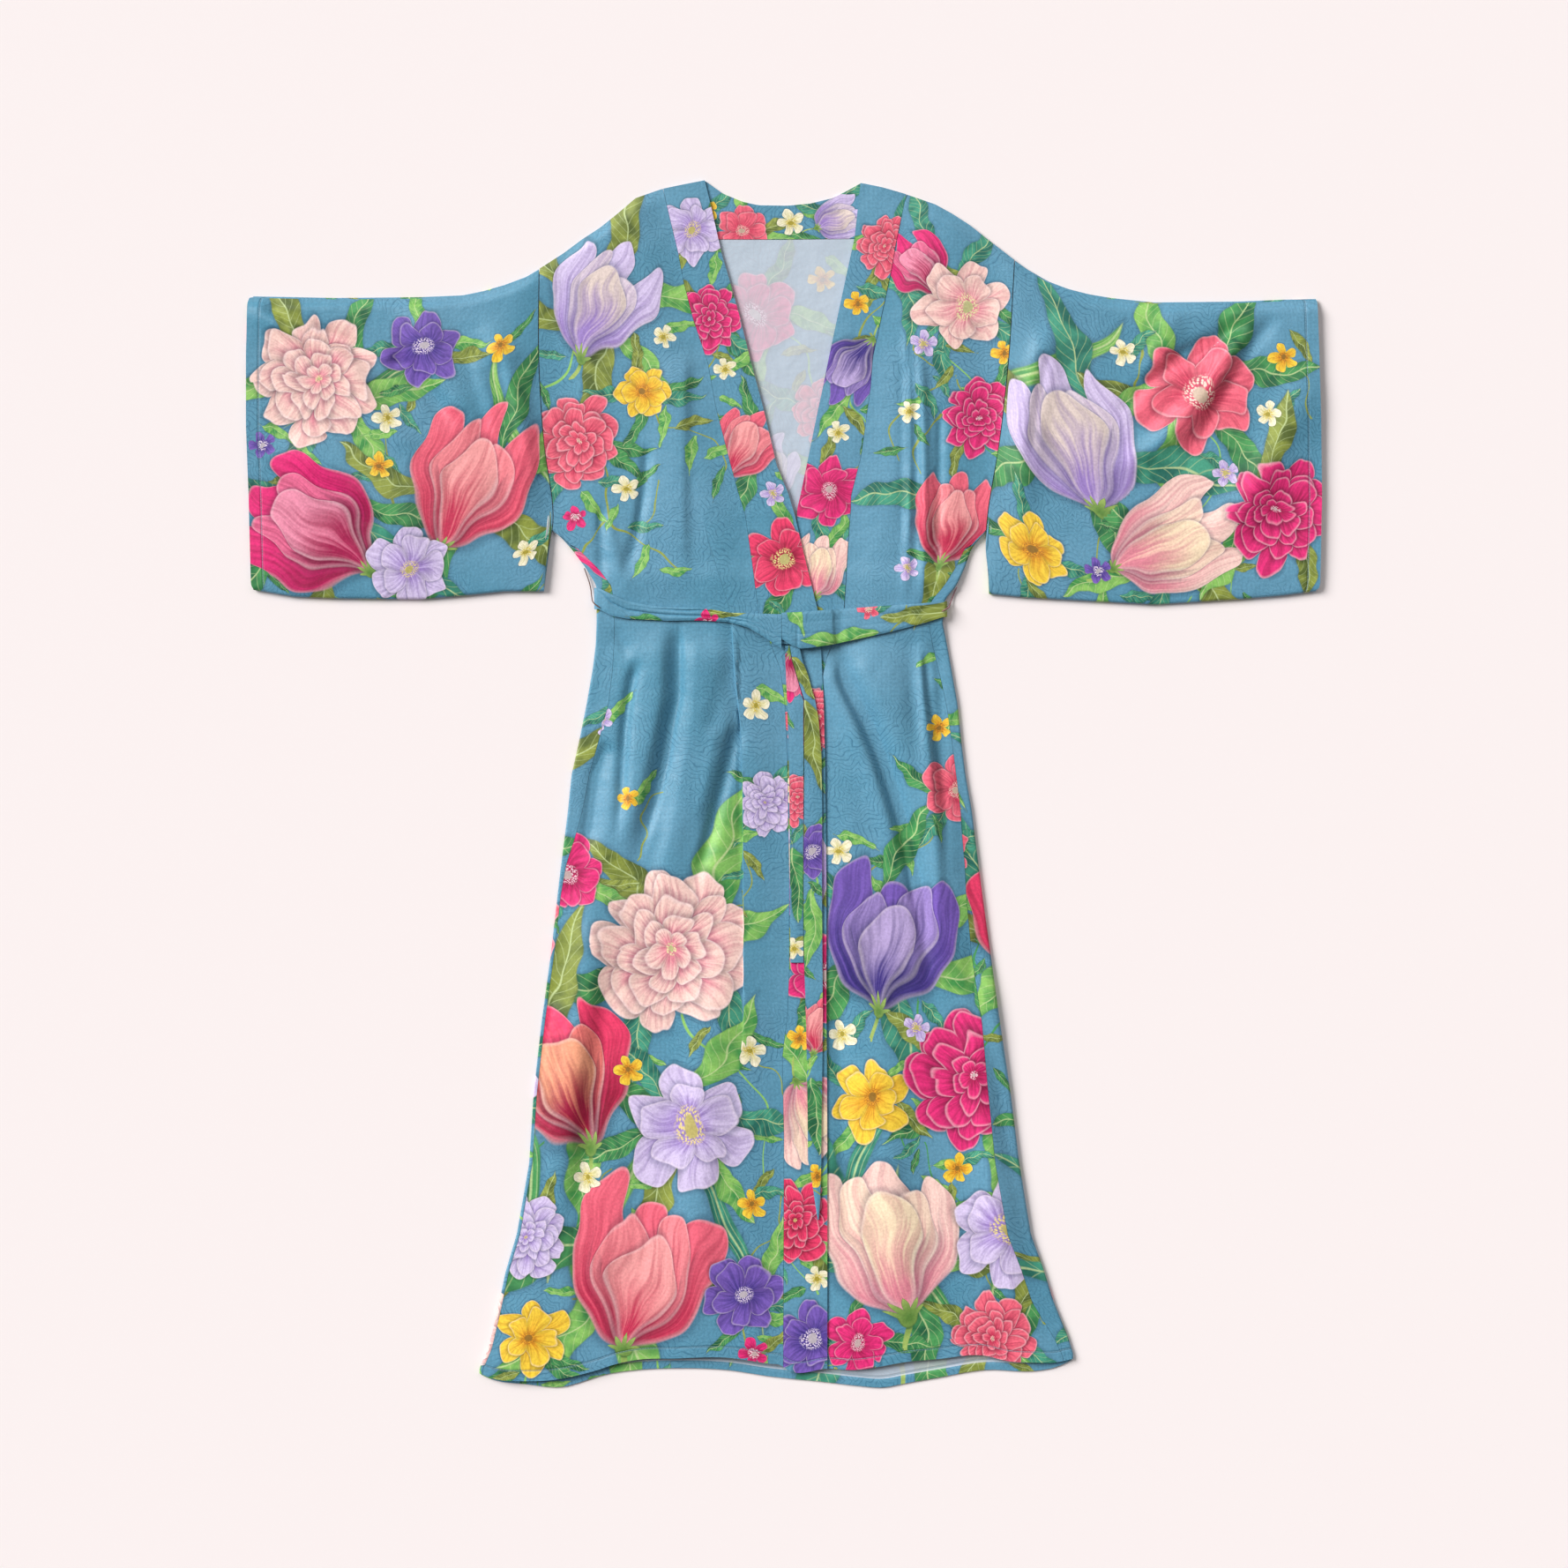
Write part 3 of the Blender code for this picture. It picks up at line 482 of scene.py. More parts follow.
# A row of the back where it turns round the side edge: across, up, the way its face looks and its
# place in the print, from the seam on the front to the turn. Also where the turn is.
def sidePoints(side, row, chords=6, strips=5):
    inward = inwardOf[side]
    turned = curl(row)
    low = float(lowerUp(row))
    edge = sideEdge(side, row) if turned else armhole(side, layDown(row, armhole(side, row),
                                                                    backTop, backHem))
    lift = float(rise(side, edge + inward * 3, row))
    chord = lift / chords / np.sinc(0.5) * np.sinc(0.5 / chords)
    turn = edge + inward * (lay["turnIn"] + lift / 2)
    strip = 1.0
    if turned == math.pi:
        strip = max(inward * (sideSeam(side, row) - turn) - lay["gap"] / 2, 0.8)
    if not turned:
        turn = edge + inward * (lay["gap"] / 2 + strip + chords * chord)
    headings = np.append(turned * (np.arange(chords) + 0.5) / chords, [turned] * strips)
    lengths = np.append([chord] * chords, [strip / strips] * strips)
    across = turn - inward * np.cumsum(lengths * np.cos(headings))
    up = low + np.cumsum(lengths * np.sin(headings))
    if turned == math.pi:
        up[chords:] = low + rise(side, across[chords:], row)
    facing = (headings + np.append(headings[1:], headings[-1])) / 2
    printX = turn - inward * np.cumsum(lengths)
    return pointsOf(across, up, -inward * np.sin(facing), -np.cos(facing), printX)[::-1], turn


# Where a line meets a row of the mesh, found in a few steps from a first guess.
def atRow(line, row, guess):
    across = line(guess)
    for _ in range(4):
        across = line(layDown(row, across, topEdge, frontHem))
    return across


def frontSideEdge(side, row):
    inward = inwardOf[side]
    if row > lay["underarmDown"]:
        return sidePoints(side, row)[0][0, 0] + inward * (lay["gap"] + 0.6 * math.sin(curl(row)))
    return atRow(partial(armhole, side), row, row) + inward * lay["gap"] / 2


def bandRowEdge(side, edge, row):
    return atRow(partial(bandEdge, side, edge), row, lay["rowsTop"])


def backPanel():
    end, (left, right) = lay["neckPoint"], lay["neckCorners"]
    half = lay["cloth"] / 2
    count = int(360 / lay["grid"])
    faceSide, reverseSide, printAt = [], [], []
    for row in rowsBody:
        leftSide, leftTurn = sidePoints("left", row)
        rightSide, rightTurn = sidePoints("right", row)
        run = np.concatenate([
            np.linspace(leftTurn, -end, count // 4)[:-1], np.linspace(-end, left, 10),
            np.linspace(left, right, count // 2)[1:-1], np.linspace(right, end, 10),
            np.linspace(end, rightTurn, count // 4)[1:]])
        lower = pointsOf(run, lowerUp(row), 0.0, -1.0, run)
        across, up, outAcross, outUp, printX = np.concatenate([leftSide, lower, rightSide[::-1]]).T
        down = layDown(row, across, backTop, frontHem)
        down[len(leftSide):len(leftSide) + len(run)] = layDown(row, run, backTop, backHem)
        for skin, away in ((faceSide, half), (reverseSide, -half)):
            skin.append(pointsOf(across + away * outAcross, down, up + away * outUp))
        printAt.append(pointsOf(printX, down))
    faceSide, reverseSide, printAt = map(np.array, (faceSide, reverseSide, printAt))
    # the hem is turned up onto the inside, so its last 8 mm are thicker and show the face
    hem = rowsBody > lay["hemRow"]
    reverseSide[hem, :, 2] += lay["turnUp"]
    printX, down = np.moveaxis(printAt, -1, 0)
    stitchAt = pointsOf(down[-1] - down - lay["hemStitch"], printX)
    turned = np.broadcast_to(hem[1:, None], (len(rowsBody) - 1, faceSide.shape[1] - 1))
    return clothShell("back_panel", faceSide, reverseSide, printAt, turned=turned, stitchAt=stitchAt)


def frontPanel(side):
    columns = lay["columns"]
    besideFold, besideSeam = knife["beside"]
    (tuckTop, tuckIn), (tuckLow, tuckOut) = knife["tuckStart"], knife["tuckEnd"]
    grid, printX = [], []
    for row in rowsFront:
        edge = frontSideEdge(side, row)
        seam = bandRowEdge(side, "seam", row) - inwardOf[side] * lay["gap"] / 2
        across, hidden = np.linspace(edge, seam, columns["front"]), 0
        if side == "left":      # points stand close on both sides of the pressed fold
            line = min(onLine(knifeFoldLine, "across", row), seam - besideSeam)
            across = np.concatenate([np.linspace(edge, line - besideFold, columns["toFold"]),
                                     np.linspace(line + besideFold, seam, columns["pastFold"])])
            tucked = float(ease((tuckLow - row) / tuckOut)) * float(ease((row - tuckTop) / tuckIn))
            hidden = np.where(across > line, knife["tuck"] * tucked, 0)
        printX.append(across + hidden)
        grid.append((across, layDown(row, across, topEdge, frontHem)))
    across, down = np.moveaxis(np.array(grid), 1, 0)
    up = lowerUp(down) + rise(side, across, down)
    return panel("front_" + side, across, down, up, lay["cloth"], pointsOf(np.array(printX), down),
                 hemStitch(across, down))


def bandPanel(side):
    share = np.linspace(0, 1, lay["columns"]["band"])
    wave, waveDown, waveAcross = lay["bandWave"]
    grid = []
    for row in rowsFront:
        seam = bandRowEdge(side, "seam", row) + inwardOf[side] * lay["gap"] / 2
        across = np.linspace(seam, bandRowEdge(side, "free", row), len(share))
        grid.append((across, layDown(row, across, topEdge, frontHem)))
    across, down = np.moveaxis(np.array(grid), 1, 0)
    settled = ease((down - topEdge(across)) / lay["seamEase"])
    up = lowerUp(down) + lay["neckRise"] + (level(side, across, down) - lay["neckRise"]) * settled
    up = (up + lay["bandBelly"] * np.sin(math.pi * share)
          + wave * np.sin(down / waveDown + waveAcross * share))
    return panel("band_" + side, across, down, up, lay["doubleCloth"], stitchAt=hemStitch(across, down))


def neckBand():
    end, (left, right) = lay["neckBandEnd"], lay["neckCorners"]
    across = np.concatenate([np.linspace(-end, left, 9), np.linspace(left, right, 40)[1:-1],
                             np.linspace(right, end, 9)])
    lower = backTop(across) - lay["gap"] * np.hypot(1, np.gradient(backTop(across), across)) - 0.1
    upper = topEdge(across)
    share = np.linspace(0, 1, 9)[:, None]
    down = upper + (lower - upper) * share
    return panel("band_neck", across, down, 0.8 + 0.25 * np.sin(math.pi * share), lay["doubleCloth"])


def sleevePlace(side, part, down):
    cuff = onLine(cuffLine, side, down)
    return cuff + (armhole(side, down) - inwardOf[side] * lay["armholeGap"] - cuff) * part


# One ring of a sleeve, at a part of the way from cuff to armhole: over, round below, under, round above.
def sleeveRing(side, part, offset, lowest=None):
    floor, least = lay["floorCloth"], lay["leastInSleeve"]
    top, bottom = lay["sleeveEnds"]
    ends = []
    for down, inwards, line in ((top, 1, topEdgeLine), (bottom, -1, sleeveBottomLine)):
        for _ in range(5):
            across = sleevePlace(side, part, down)
            down = float(onLine(line, "down", across, "across"))
        if lowest is not None and inwards < 0:
            down = lowest
            across = sleevePlace(side, 1.0, down)
        radius = float(rise(side, across, down + inwards * 2, least)) / 2
        ends.append((float(across), down + inwards * (floor + radius), inwards, radius))
    down = np.linspace(ends[0][1], ends[1][1], lay["columns"]["sleeve"])
    across = sleevePlace(side, part, down)
    over = pointsOf(across, down, floor + rise(side, across, down, least) + offset)
    under = pointsOf(across, down, floor - offset)[::-1]
    turns = []
    for across, middle, inwards, radius in ends:
        angle = np.radians((60, 30, 0, -30, -60)) * -inwards
        reach = radius + offset
        turns.append(pointsOf(across, middle - inwards * reach * np.cos(angle),
                              floor + radius + reach * np.sin(angle)))
    return np.concatenate([over, turns[1], under, turns[0]])


def sleevePanel(side):
    parts = np.append(np.linspace(0, 0.985, lay["sleeveRows"]), 1.0)
    half = lay["cloth"] / 2
    outer = np.array([sleeveRing(side, part, half) for part in parts])
    inner = np.array([sleeveRing(side, part, -half, lay["sleeveFoot"] if part == 1 else None)
                      for part in parts])
    steps = np.linalg.norm(np.diff(outer, axis=1, append=outer[:, :1]), axis=2)
    around = np.concatenate([np.zeros((len(parts), 1)), np.cumsum(steps, axis=1)[:, :-1]], axis=1)
    across = outer[..., 0]
    printAt = pointsOf(across, lay["sleeveEnds"][0] + around)
    stitchAt = pointsOf(abs(across - across[:1]) - lay["cuffStitch"], printAt[..., 1])
    return clothShell("sleeve_" + side, outer, inner, printAt, ring=True, stitchAt=stitchAt)


dressed = {"back_panel": backPanel()}
dressed.update({"front_" + side: frontPanel(side) for side in inwardOf})
dressed.update({"band_" + side: bandPanel(side) for side in inwardOf})
dressed["band_neck"] = neckBand()
dressed.update({"sleeve_" + side: sleevePanel(side) for side in inwardOf})
print("panels laid")


# The belt, one long strap of double cloth. Its left wrap is folded lengthwise along two lines.
belt = {
    "thick": 1.6,
    "clear": 1.3,           # middle of the strap over the cloth that it crosses
    "reach": 16.0,          # how far round a place the strap bridges the steps below it
    "ridge": 1.7,           # height of the folds that run along the strap
    "ridgeWide": 1.1,
    "edgeWide": 1.4,        # its edges roll over this much
    "turnLow": 1.0,
    "turnHigh": 8.9,
    "outer": {"left": -215.2, "right": 185.0},
    "under": {"left": -208.3, "right": 178.3},
    "knotHalfWidth": 26.0,
    "knotUp": 10.9,
    "knotOverBand": 4.1,
    "crease": (0.9, 15.0, 1.6),     # a short upright crease of the right wrap, beside the knot
}
wraps = {
    "left": columnsOf("across upper first second lower firstDeep secondDeep", """
        -211 462 464 466 486 0 0.5, -206 464 466 468.5 488 0 1, -194 470 474.5 479.5 494 0 1,
        -178 477 482 487 497 0 1, -150 482.5 486 491 498.3 0.2 1, -133 484 486.7 492.5 499.3 0.8 1,
        -111 484.3 488 493.5 499 1 1, -95 485 487.4 493.8 499 1 1, -80 487 489.6 495 499.8 1 1,
        -66 489.5 493.4 496.4 500.6 1 0.9, -59 490.5 494.5 498 502 0.6 0.7, -41 491 498 501 507 0.25 0.4,
        -24 491.5 503 508 517 0.1 0.35, -9 492 508 516 527 0 0.3, -3 492 510 520 531 0 0.2
    """),
    "right": columnsOf("across upper first second lower firstDeep secondDeep", """
        -2.6 490.5 500 509 520 0 0, 8 490 501 512 527 0.1 0.2, 19 489.5 502 515 531 0.15 0.3,
        30 488.5 501 514 530 0.1 0.2, 51 487 499 511 527 0.1 0.15, 79 485 496 507 521 0.15 0.1,
        120 482 491 500 512 0.25 0.1, 157 479.5 486 493 502.5 0.35 0.2, 181 477 483 488 495 0.3 0.2
    """),
}
runUnderBack = columnsOf("across upper lower", """
    -208 462 486, -180 461 491, -120 460 497, 0 460 498, 110 461 499, 160 470 498, 178 477 495
""")
knotCore = columnsOf("across upper lower", """
    -22 495 512, -14 494 519, -4 494 525, 8 495 526, 18 496 525
""")
tails = {
    "belt_tail_short": columnsOf("down left right up", """
        527.5 1 6 10.6, 545 1.5 9 9.6, 560 2.2 13.5 8.9, 575 2.8 18 8.6, 591 3.4 22 8.5, 610 4.2 21.6 8.5,
        650 5 21.6 8.5, 700 6 21.6 8.5, 794 7.2 21.8 8.5, 850 7.2 21.9 8.5, 886 7.2 22 8.5
    """),
    "belt_fall": columnsOf("down left right up", """
        527.5 6.5 17 10.8, 545 9.7 21 9.8, 560 14.2 27 9.1, 575 18.7 31 8.8, 588 22.8 35 8.6
    """),
    "belt_tail_long": columnsOf("down left right up", """
        588.4 22.8 35 8.6, 610 22.6 39 8.5, 650 22.6 42 8.5, 720 22.6 43 8.5, 834 22.6 43.5 8.5,
        890 22.8 43.5 8.5, 949 24.5 43.5 8.5, 1064 27 42.8 8.5, 1110 27.5 42.6 8.5, 1121 30 42.3 8.5,
        1156 35 41 8.5, 1177 38 39.5 8.5
    """),
}


# Top of all that the belt crosses.
def coverUp(across, down):
    low = lowerUp(down)
    leftCloth, rightCloth = (low + rise(side, across, down) + 0.6 for side in inwardOf)
    leftBand, rightBand = (low + level(side, across, down) + 1.0 for side in inwardOf)
    top = np.select([across < bandEdge("left", "seam", down), across < bandEdge("left", "free", down),
                     across < bandEdge("right", "seam", down)], [leftCloth, leftBand, rightBand], rightCloth)
    knot = lay["leftBandRise"] + belt["knotOverBand"] + lay["beltLift"]
    bulk = ease((2 * belt["knotHalfWidth"] - abs(across)) / belt["knotHalfWidth"])
    return np.maximum(top, top + (knot - top) * bulk)


def beltWrap(side):
    inward = inwardOf[side]
    run = wraps[side]
    under, low = belt["under"][side], belt["turnLow"]
    half = belt["thick"] / 2
    radius = (belt["turnHigh"] - low) / 2
    centre = belt["outer"][side] + inward * (1.0 + radius)
    start, first, *_, last = run["across"][::inward]
    share = (1 - np.cos(np.linspace(0, math.pi, 9))) / 2

    def columnsAt(place):
        upper, one, two, lower, oneDeep, twoDeep = (
            onLine(run, name, place, "across") for name in list(run)[1:])
        down = np.concatenate([upper + (one - upper) * share, one + (two - one) * share[1:],
                               two + (lower - two) * share[1:]])
        ridgeWide, edgeWide = belt["ridgeWide"], belt["edgeWide"]
        ridge = 1 - (oneDeep * bell(down - one, ridgeWide) + twoDeep * bell(down - two, ridgeWide))
        rolled = bell(down - upper, edgeWide) + bell(lower - down, edgeWide)
        return down, belt["ridge"] * (ridge - 0.7 * rolled)

    down, _ = columnsAt(start)
    outer, inner = [pointsOf(under, down, low - half)], [pointsOf(under, down, low + half)]
    around = [0.0]
    for a in np.radians(np.linspace(-90, 90, 13)):
        around.append(around[-1] + radius * math.pi / 12)
        for skin, reach in ((outer, radius + half), (inner, radius - half)):
            skin.append(pointsOf(centre - inward * reach * math.cos(a), down,
                                 low + radius + reach * math.sin(a)))
    places = np.linspace(first, last, 120)
    down, ridge = np.moveaxis(np.array([columnsAt(place) for place in places]), 1, 0)
    across = places[:, None] + 0 * down
    up = np.max([coverUp(across + i * belt["reach"], down + j * belt["reach"])
                 for i in (-1, -0.5, 0, 0.5, 1) for j in (-0.4, 0, 0.4)], axis=0) + belt["clear"]
    if side == "right":
        deep, middle, wide = belt["crease"]
        up = up - deep * bell(across - middle, wide) * ease((down - 498) / 12)
    up = up + ridge * ease(abs(places - start) / 12)[:, None]
    outer, inner = (np.array([*skin, *pointsOf(across, down, up + away)])
                    for skin, away in ((outer, half), (inner, -half)))
    printX = np.concatenate([first - inward * (np.array(around[::-1]) + 8), places])
    return clothShell("belt_" + side, outer, inner, pointsOf(printX[:, None], outer[..., 1]))


def beltFlat(node, run, up):
    places = np.linspace(run["across"][0], run["across"][-1], 60)[:, None]
    upper, lower = (onLine(run, edge, places, "across") for edge in ("upper", "lower"))
    return panel(node, places, upper + (lower - upper) * np.linspace(0, 1, 7), up, belt["thick"])


def beltTail(node, run):
    rows = np.unique(np.append(run["down"], np.arange(run["down"][0], run["down"][-1], 5.0)))[:, None]
    left, right, up = (onLine(run, name, rows) for name in ("left", "right", "up"))
    share = np.linspace(0, 1, 9)
    sway = 0.35 * np.sin(rows / 47) * ease((rows - 600) / 60)
    up = up + 0.3 * np.sin(math.pi * share) + 0.12 * np.sin(rows / 23 + 4 * share)
    return panel(node, left + (right - left) * share + sway, rows, up, belt["thick"])


# Belt loops: a chain of thread, swept along its route.
chain = {
    "plies": 3,
    "radius": 0.6,
    "groove": 0.13,
    "twist": 1.9,           # of the plies, in radians for each millimetre
}
loopRoutes = {
    "left": columnsOf("across down up", """
        -226.2 439.5 3.4, -223.5 447 2.6, -220.5 456 2.2, -218.6 465 2.6, -217.8 472 4, -216.2 478 7.6,
        -212 482 10.7, -208.5 484.5 11.2
    """),
    "right": columnsOf("across down up", """
        195.6 461 4.7, 193 467 2.6, 190.5 474 2.2, 188 480 4.2, 186.6 484 8, 182 487 11, 178.5 489 11.4
    """),
}


def threadLoop(side):
    knots = pointsOf(*loopRoutes[side].values())
    run = np.append(0, np.cumsum(np.linalg.norm(np.diff(knots, axis=0), axis=1)))
    at = np.linspace(0, run[-1], 90)
    path = pointsOf(*(smoothLine(run, column, at) for column in knots.T))
    ahead = np.gradient(path, axis=0)
    ahead /= np.linalg.norm(ahead, axis=1)[:, None]
    across = np.cross(ahead, (0.3, 0.2, 1.0))
    across /= np.linalg.norm(across, axis=1)[:, None]
    other = np.cross(ahead, across)
    angle = np.linspace(0, 2 * math.pi, 18, endpoint=False)
    twisted = angle + at[:, None] * chain["twist"]
    lobes = chain["radius"] + chain["groove"] * np.cos(chain["plies"] * twisted)
    rings = (path[:, None] + across[:, None] * (lobes * np.cos(angle))[..., None]
             + other[:, None] * (lobes * np.sin(angle))[..., None])
    index = np.arange(lobes.size).reshape(lobes.shape)
    before = np.roll(index, 1, 1)
    sides = np.stack([index[:-1], before[:-1], before[1:], index[1:]], -1).reshape(-1, 4)
    faces = sides.tolist() + [index[0].tolist(), index[-1][::-1].tolist()]
    return pieceOf(meshOf("loop_" + side + "Thread", rings.reshape(-1, 3), faces), "loop_" + side)


dressed.update({"belt_" + side: beltWrap(side) for side in inwardOf})
dressed["belt_back"] = beltFlat("belt_back", runUnderBack, 1.0)
dressed["belt_knot"] = beltFlat("belt_knot", knotCore, belt["knotUp"])
dressed.update({node: beltTail(node, run) for node, run in tails.items()})
loops = {side: threadLoop(side) for side in inwardOf}
print("belt tied")


# The print: flowers, leaves and tendrils, in palettes of outer petals, inner petals and heart.
petalPalettes = {
    "magenta": ("ee2d7c", "b00a50", "fbd0dc"), "coral": ("f76a80", "cf2f55", "fbd3c4"),
    "blush": ("fcd3c8", "f08fa0", "f7efb0"), "lilac": ("d9c8ec", "a284cc", "f3dc8a"),
    "violet": ("7a5bb8", "3f2f86", "efdcf4"), "poppy": ("f23c6a", "a80d3c", "f5e294"),
    "yellow": ("fbd23e", "e89c1c", "b8701c"), "cream": ("f9f1d4", "e6dc9a", "d5b93e"),
}
leafPalettes = {        # two greens
    "olive": ("9aa648", "5a6a2c"), "green": ("4fa05a", "1f6440"),
    "bright": ("94cc66", "43964a"), "teal": ("4aa486", "1f6a5c"),
}
leafKinds = ("leafUnder", "leafMiddle", "leafOver")
greenKinds = ("tendril", "strap") + leafKinds
# How far each kind reaches along and across, in its own sizes. They are painted in this order.
ovals = {"tendril": (1.0, 0.36), "strap": (1.02, 0.32), **dict.fromkeys(leafKinds, (1.02, 0.42)),
         "fan": (1.2, 1.16), "open": (1.12, 1.12), "rosette": (1.1, 1.1), "small": (1.12, 1.12)}


# Motifs in a panel's own millimetres: kind, across, down, size (its reach), degrees, palette.
def motifsOf(text):
    rows = [row.split() for row in text.split(",")] if text else []
    return [(kind, *map(float, numbers), palette) for kind, *numbers, palette in rows]


bloomsOn = {
    "front_left": """
        fan -206 138 78 22 lilac, rosette -236 296 56 0 coral, open -158 240 34 30 yellow,
        small -178 350 16 0 cream, small -136 178 14 40 cream, small -236 382 15 10 magenta,
        small -206 610 15 0 lilac, small -176 700 14 0 yellow, rosette -128 872 98 0 blush,
        open -246 786 46 15 magenta, fan -246 1020 96 -16 poppy, open -106 1072 78 50 lilac,
        small -176 1008 17 0 yellow, small -34 986 18 30 cream, fan -158 1236 112 12 coral,
        rosette -292 1196 50 0 lilac, open -46 1262 50 20 violet, small -36 1160 17 10 yellow,
        open -286 1310 44 0 yellow, small -222 1130 17 0 cream, small -34 1328 18 0 magenta,
        strap -300 1110 150 76 green, strap -210 1230 160 108 bright, strap -60 1210 120 64 teal,
        small -16 596 17 20 cream, rosette -3 706 38 0 lilac""",
    "front_right": """
        open 204 142 56 20 blush, fan 152 96 44 -40 magenta, small 250 196 15 0 yellow,
        small 158 186 16 20 lilac, rosette 222 268 46 0 magenta, small 142 262 14 0 cream,
        fan 190 386 58 12 coral, small 140 440 15 0 lilac, small 176 620 16 0 yellow,
        open 196 690 40 0 coral, fan 120 858 98 8 violet, small 62 760 16 0 cream,
        rosette 216 1016 84 0 magenta, open 98 1040 50 12 yellow, small 66 968 17 0 cream,
        small 150 960 16 30 lilac, fan 122 1200 104 -8 blush, open 254 1190 68 0 lilac,
        small 196 1120 17 30 yellow, rosette 236 1310 52 0 coral, open 84 1316 40 0 magenta,
        small 306 1280 17 0 yellow, strap 252 1120 170 100 bright, strap 170 1240 140 66 green,
        strap 70 1130 120 112 teal""",
    "band_left": """
        open -104 56 42 0 lilac, rosette -84 156 40 0 magenta, small -66 214 14 0 cream,
        fan -46 300 50 30 coral, small -12 356 15 0 lilac, open -2 430 48 0 poppy,
        rosette 40 610 44 0 coral, small 12 690 16 0 cream, fan 8 786 62 -20 lilac,
        open 46 900 52 0 magenta, small 18 972 15 20 yellow, fan 34 1066 62 160 blush,
        rosette 12 1180 50 0 poppy, small 38 1244 15 0 cream, open 30 1312 48 0 violet""",
    "band_right": """
        rosette 116 74 36 0 coral, small 84 140 15 0 yellow, fan 76 214 48 -150 violet,
        small 62 286 14 0 cream, open 52 352 44 0 magenta, fan 40 440 42 10 blush, open 26 640 44 0 lilac,
        rosette 20 860 44 0 coral, fan 18 1100 44 0 magenta, rosette 18 1300 44 0 blush""",
    "band_neck": """
        small -88 34 15 0 yellow, open -46 56 32 0 coral, small 8 48 16 0 cream, fan 62 44 34 70 lilac""",
    "back_panel": """
        open -34 152 56 0 magenta, rosette 46 262 40 0 coral, small 44 112 16 0 yellow,
        fan -20 330 46 20 lilac, rosette -190 190 70 0 magenta, fan 176 200 84 -20 coral,
        open -150 350 56 0 violet, open 130 380 56 0 cream, small 200 330 17 0 yellow,
        fan -120 700 110 10 blush, open 90 660 70 0 magenta, rosette 10 840 84 0 lilac,
        fan 176 850 96 -14 poppy, open -214 850 60 0 coral, small -80 930 18 0 cream,
        fan -60 1070 116 8 magenta, rosette 150 1060 80 0 blush, open -226 1050 70 0 lilac,
        fan 110 1250 106 -10 lilac, rosette -180 1230 84 0 coral, open -30 1260 56 0 yellow,
        open 250 1280 60 0 magenta, rosette -320 1310 46 0 blush, small 20 500 18 0 cream,
        small -262 620 15 0 lilac, fan -262 440 40 20 magenta, fan 250 620 46 -10 lilac,
        open 262 760 34 0 coral""",
    "sleeve_left": """
        rosette -530 226 76 0 blush, open -408 190 46 12 violet, fan -356 346 94 24 coral,
        fan -532 396 92 -58 magenta, small -448 268 17 0 cream, small -458 322 16 20 yellow,
        small -320 200 17 0 yellow, open -424 440 50 0 lilac, small -590 300 16 0 violet,
        small -292 440 16 0 cream, rosette -330 560 66 0 magenta, fan -470 620 96 10 lilac,
        open -560 740 60 0 coral, fan -370 740 72 -20 blush, small -450 740 18 0 yellow,
        strap -470 230 110 150 green, strap -300 300 100 70 bright""",
    "sleeve_right": """
        open 470 236 72 10 coral, fan 330 300 92 -24 lilac, rosette 560 372 66 0 magenta,
        small 566 196 17 0 yellow, small 548 260 15 30 cream, small 384 190 16 0 cream,
        fan 436 410 84 66 blush, open 282 434 42 0 yellow, small 356 440 16 0 violet,
        small 500 330 16 0 lilac, rosette 350 570 70 0 coral, fan 500 620 92 -14 magenta,
        open 330 730 58 0 lilac, rosette 560 760 52 0 blush, small 430 740 18 0 yellow,
        strap 296 236 120 140 bright, strap 520 300 110 60 green""",
    "belt_left": """
        small -86 502 16 0 magenta, leafOver -150 500 26 10 green""",
    "belt_right": """
        leafOver 148 492 40 172 olive, leafUnder 60 520 46 176 bright, leafMiddle 12 494 26 60 bright,
        small 96 486 13 0 coral""",
    "belt_fall": """
        leafOver 24 566 30 60 olive""",
    "belt_tail_short": """
        fan 6 562 32 180 magenta, rosette 14 700 30 0 coral, leafOver 14 800 46 84 green,
        small 12 870 14 0 cream""",
    "belt_tail_long": """
        leafUnder 34 640 52 80 olive, open 32 760 34 0 violet, leafOver 30 850 46 96 bright,
        fan 36 960 36 10 coral, leafMiddle 36 1060 44 86 green, small 38 1128 15 0 yellow""",
}


def off(x, y, reach, degrees):
    turn = math.radians(degrees)
    return x + reach * math.cos(turn), y + reach * math.sin(turn)


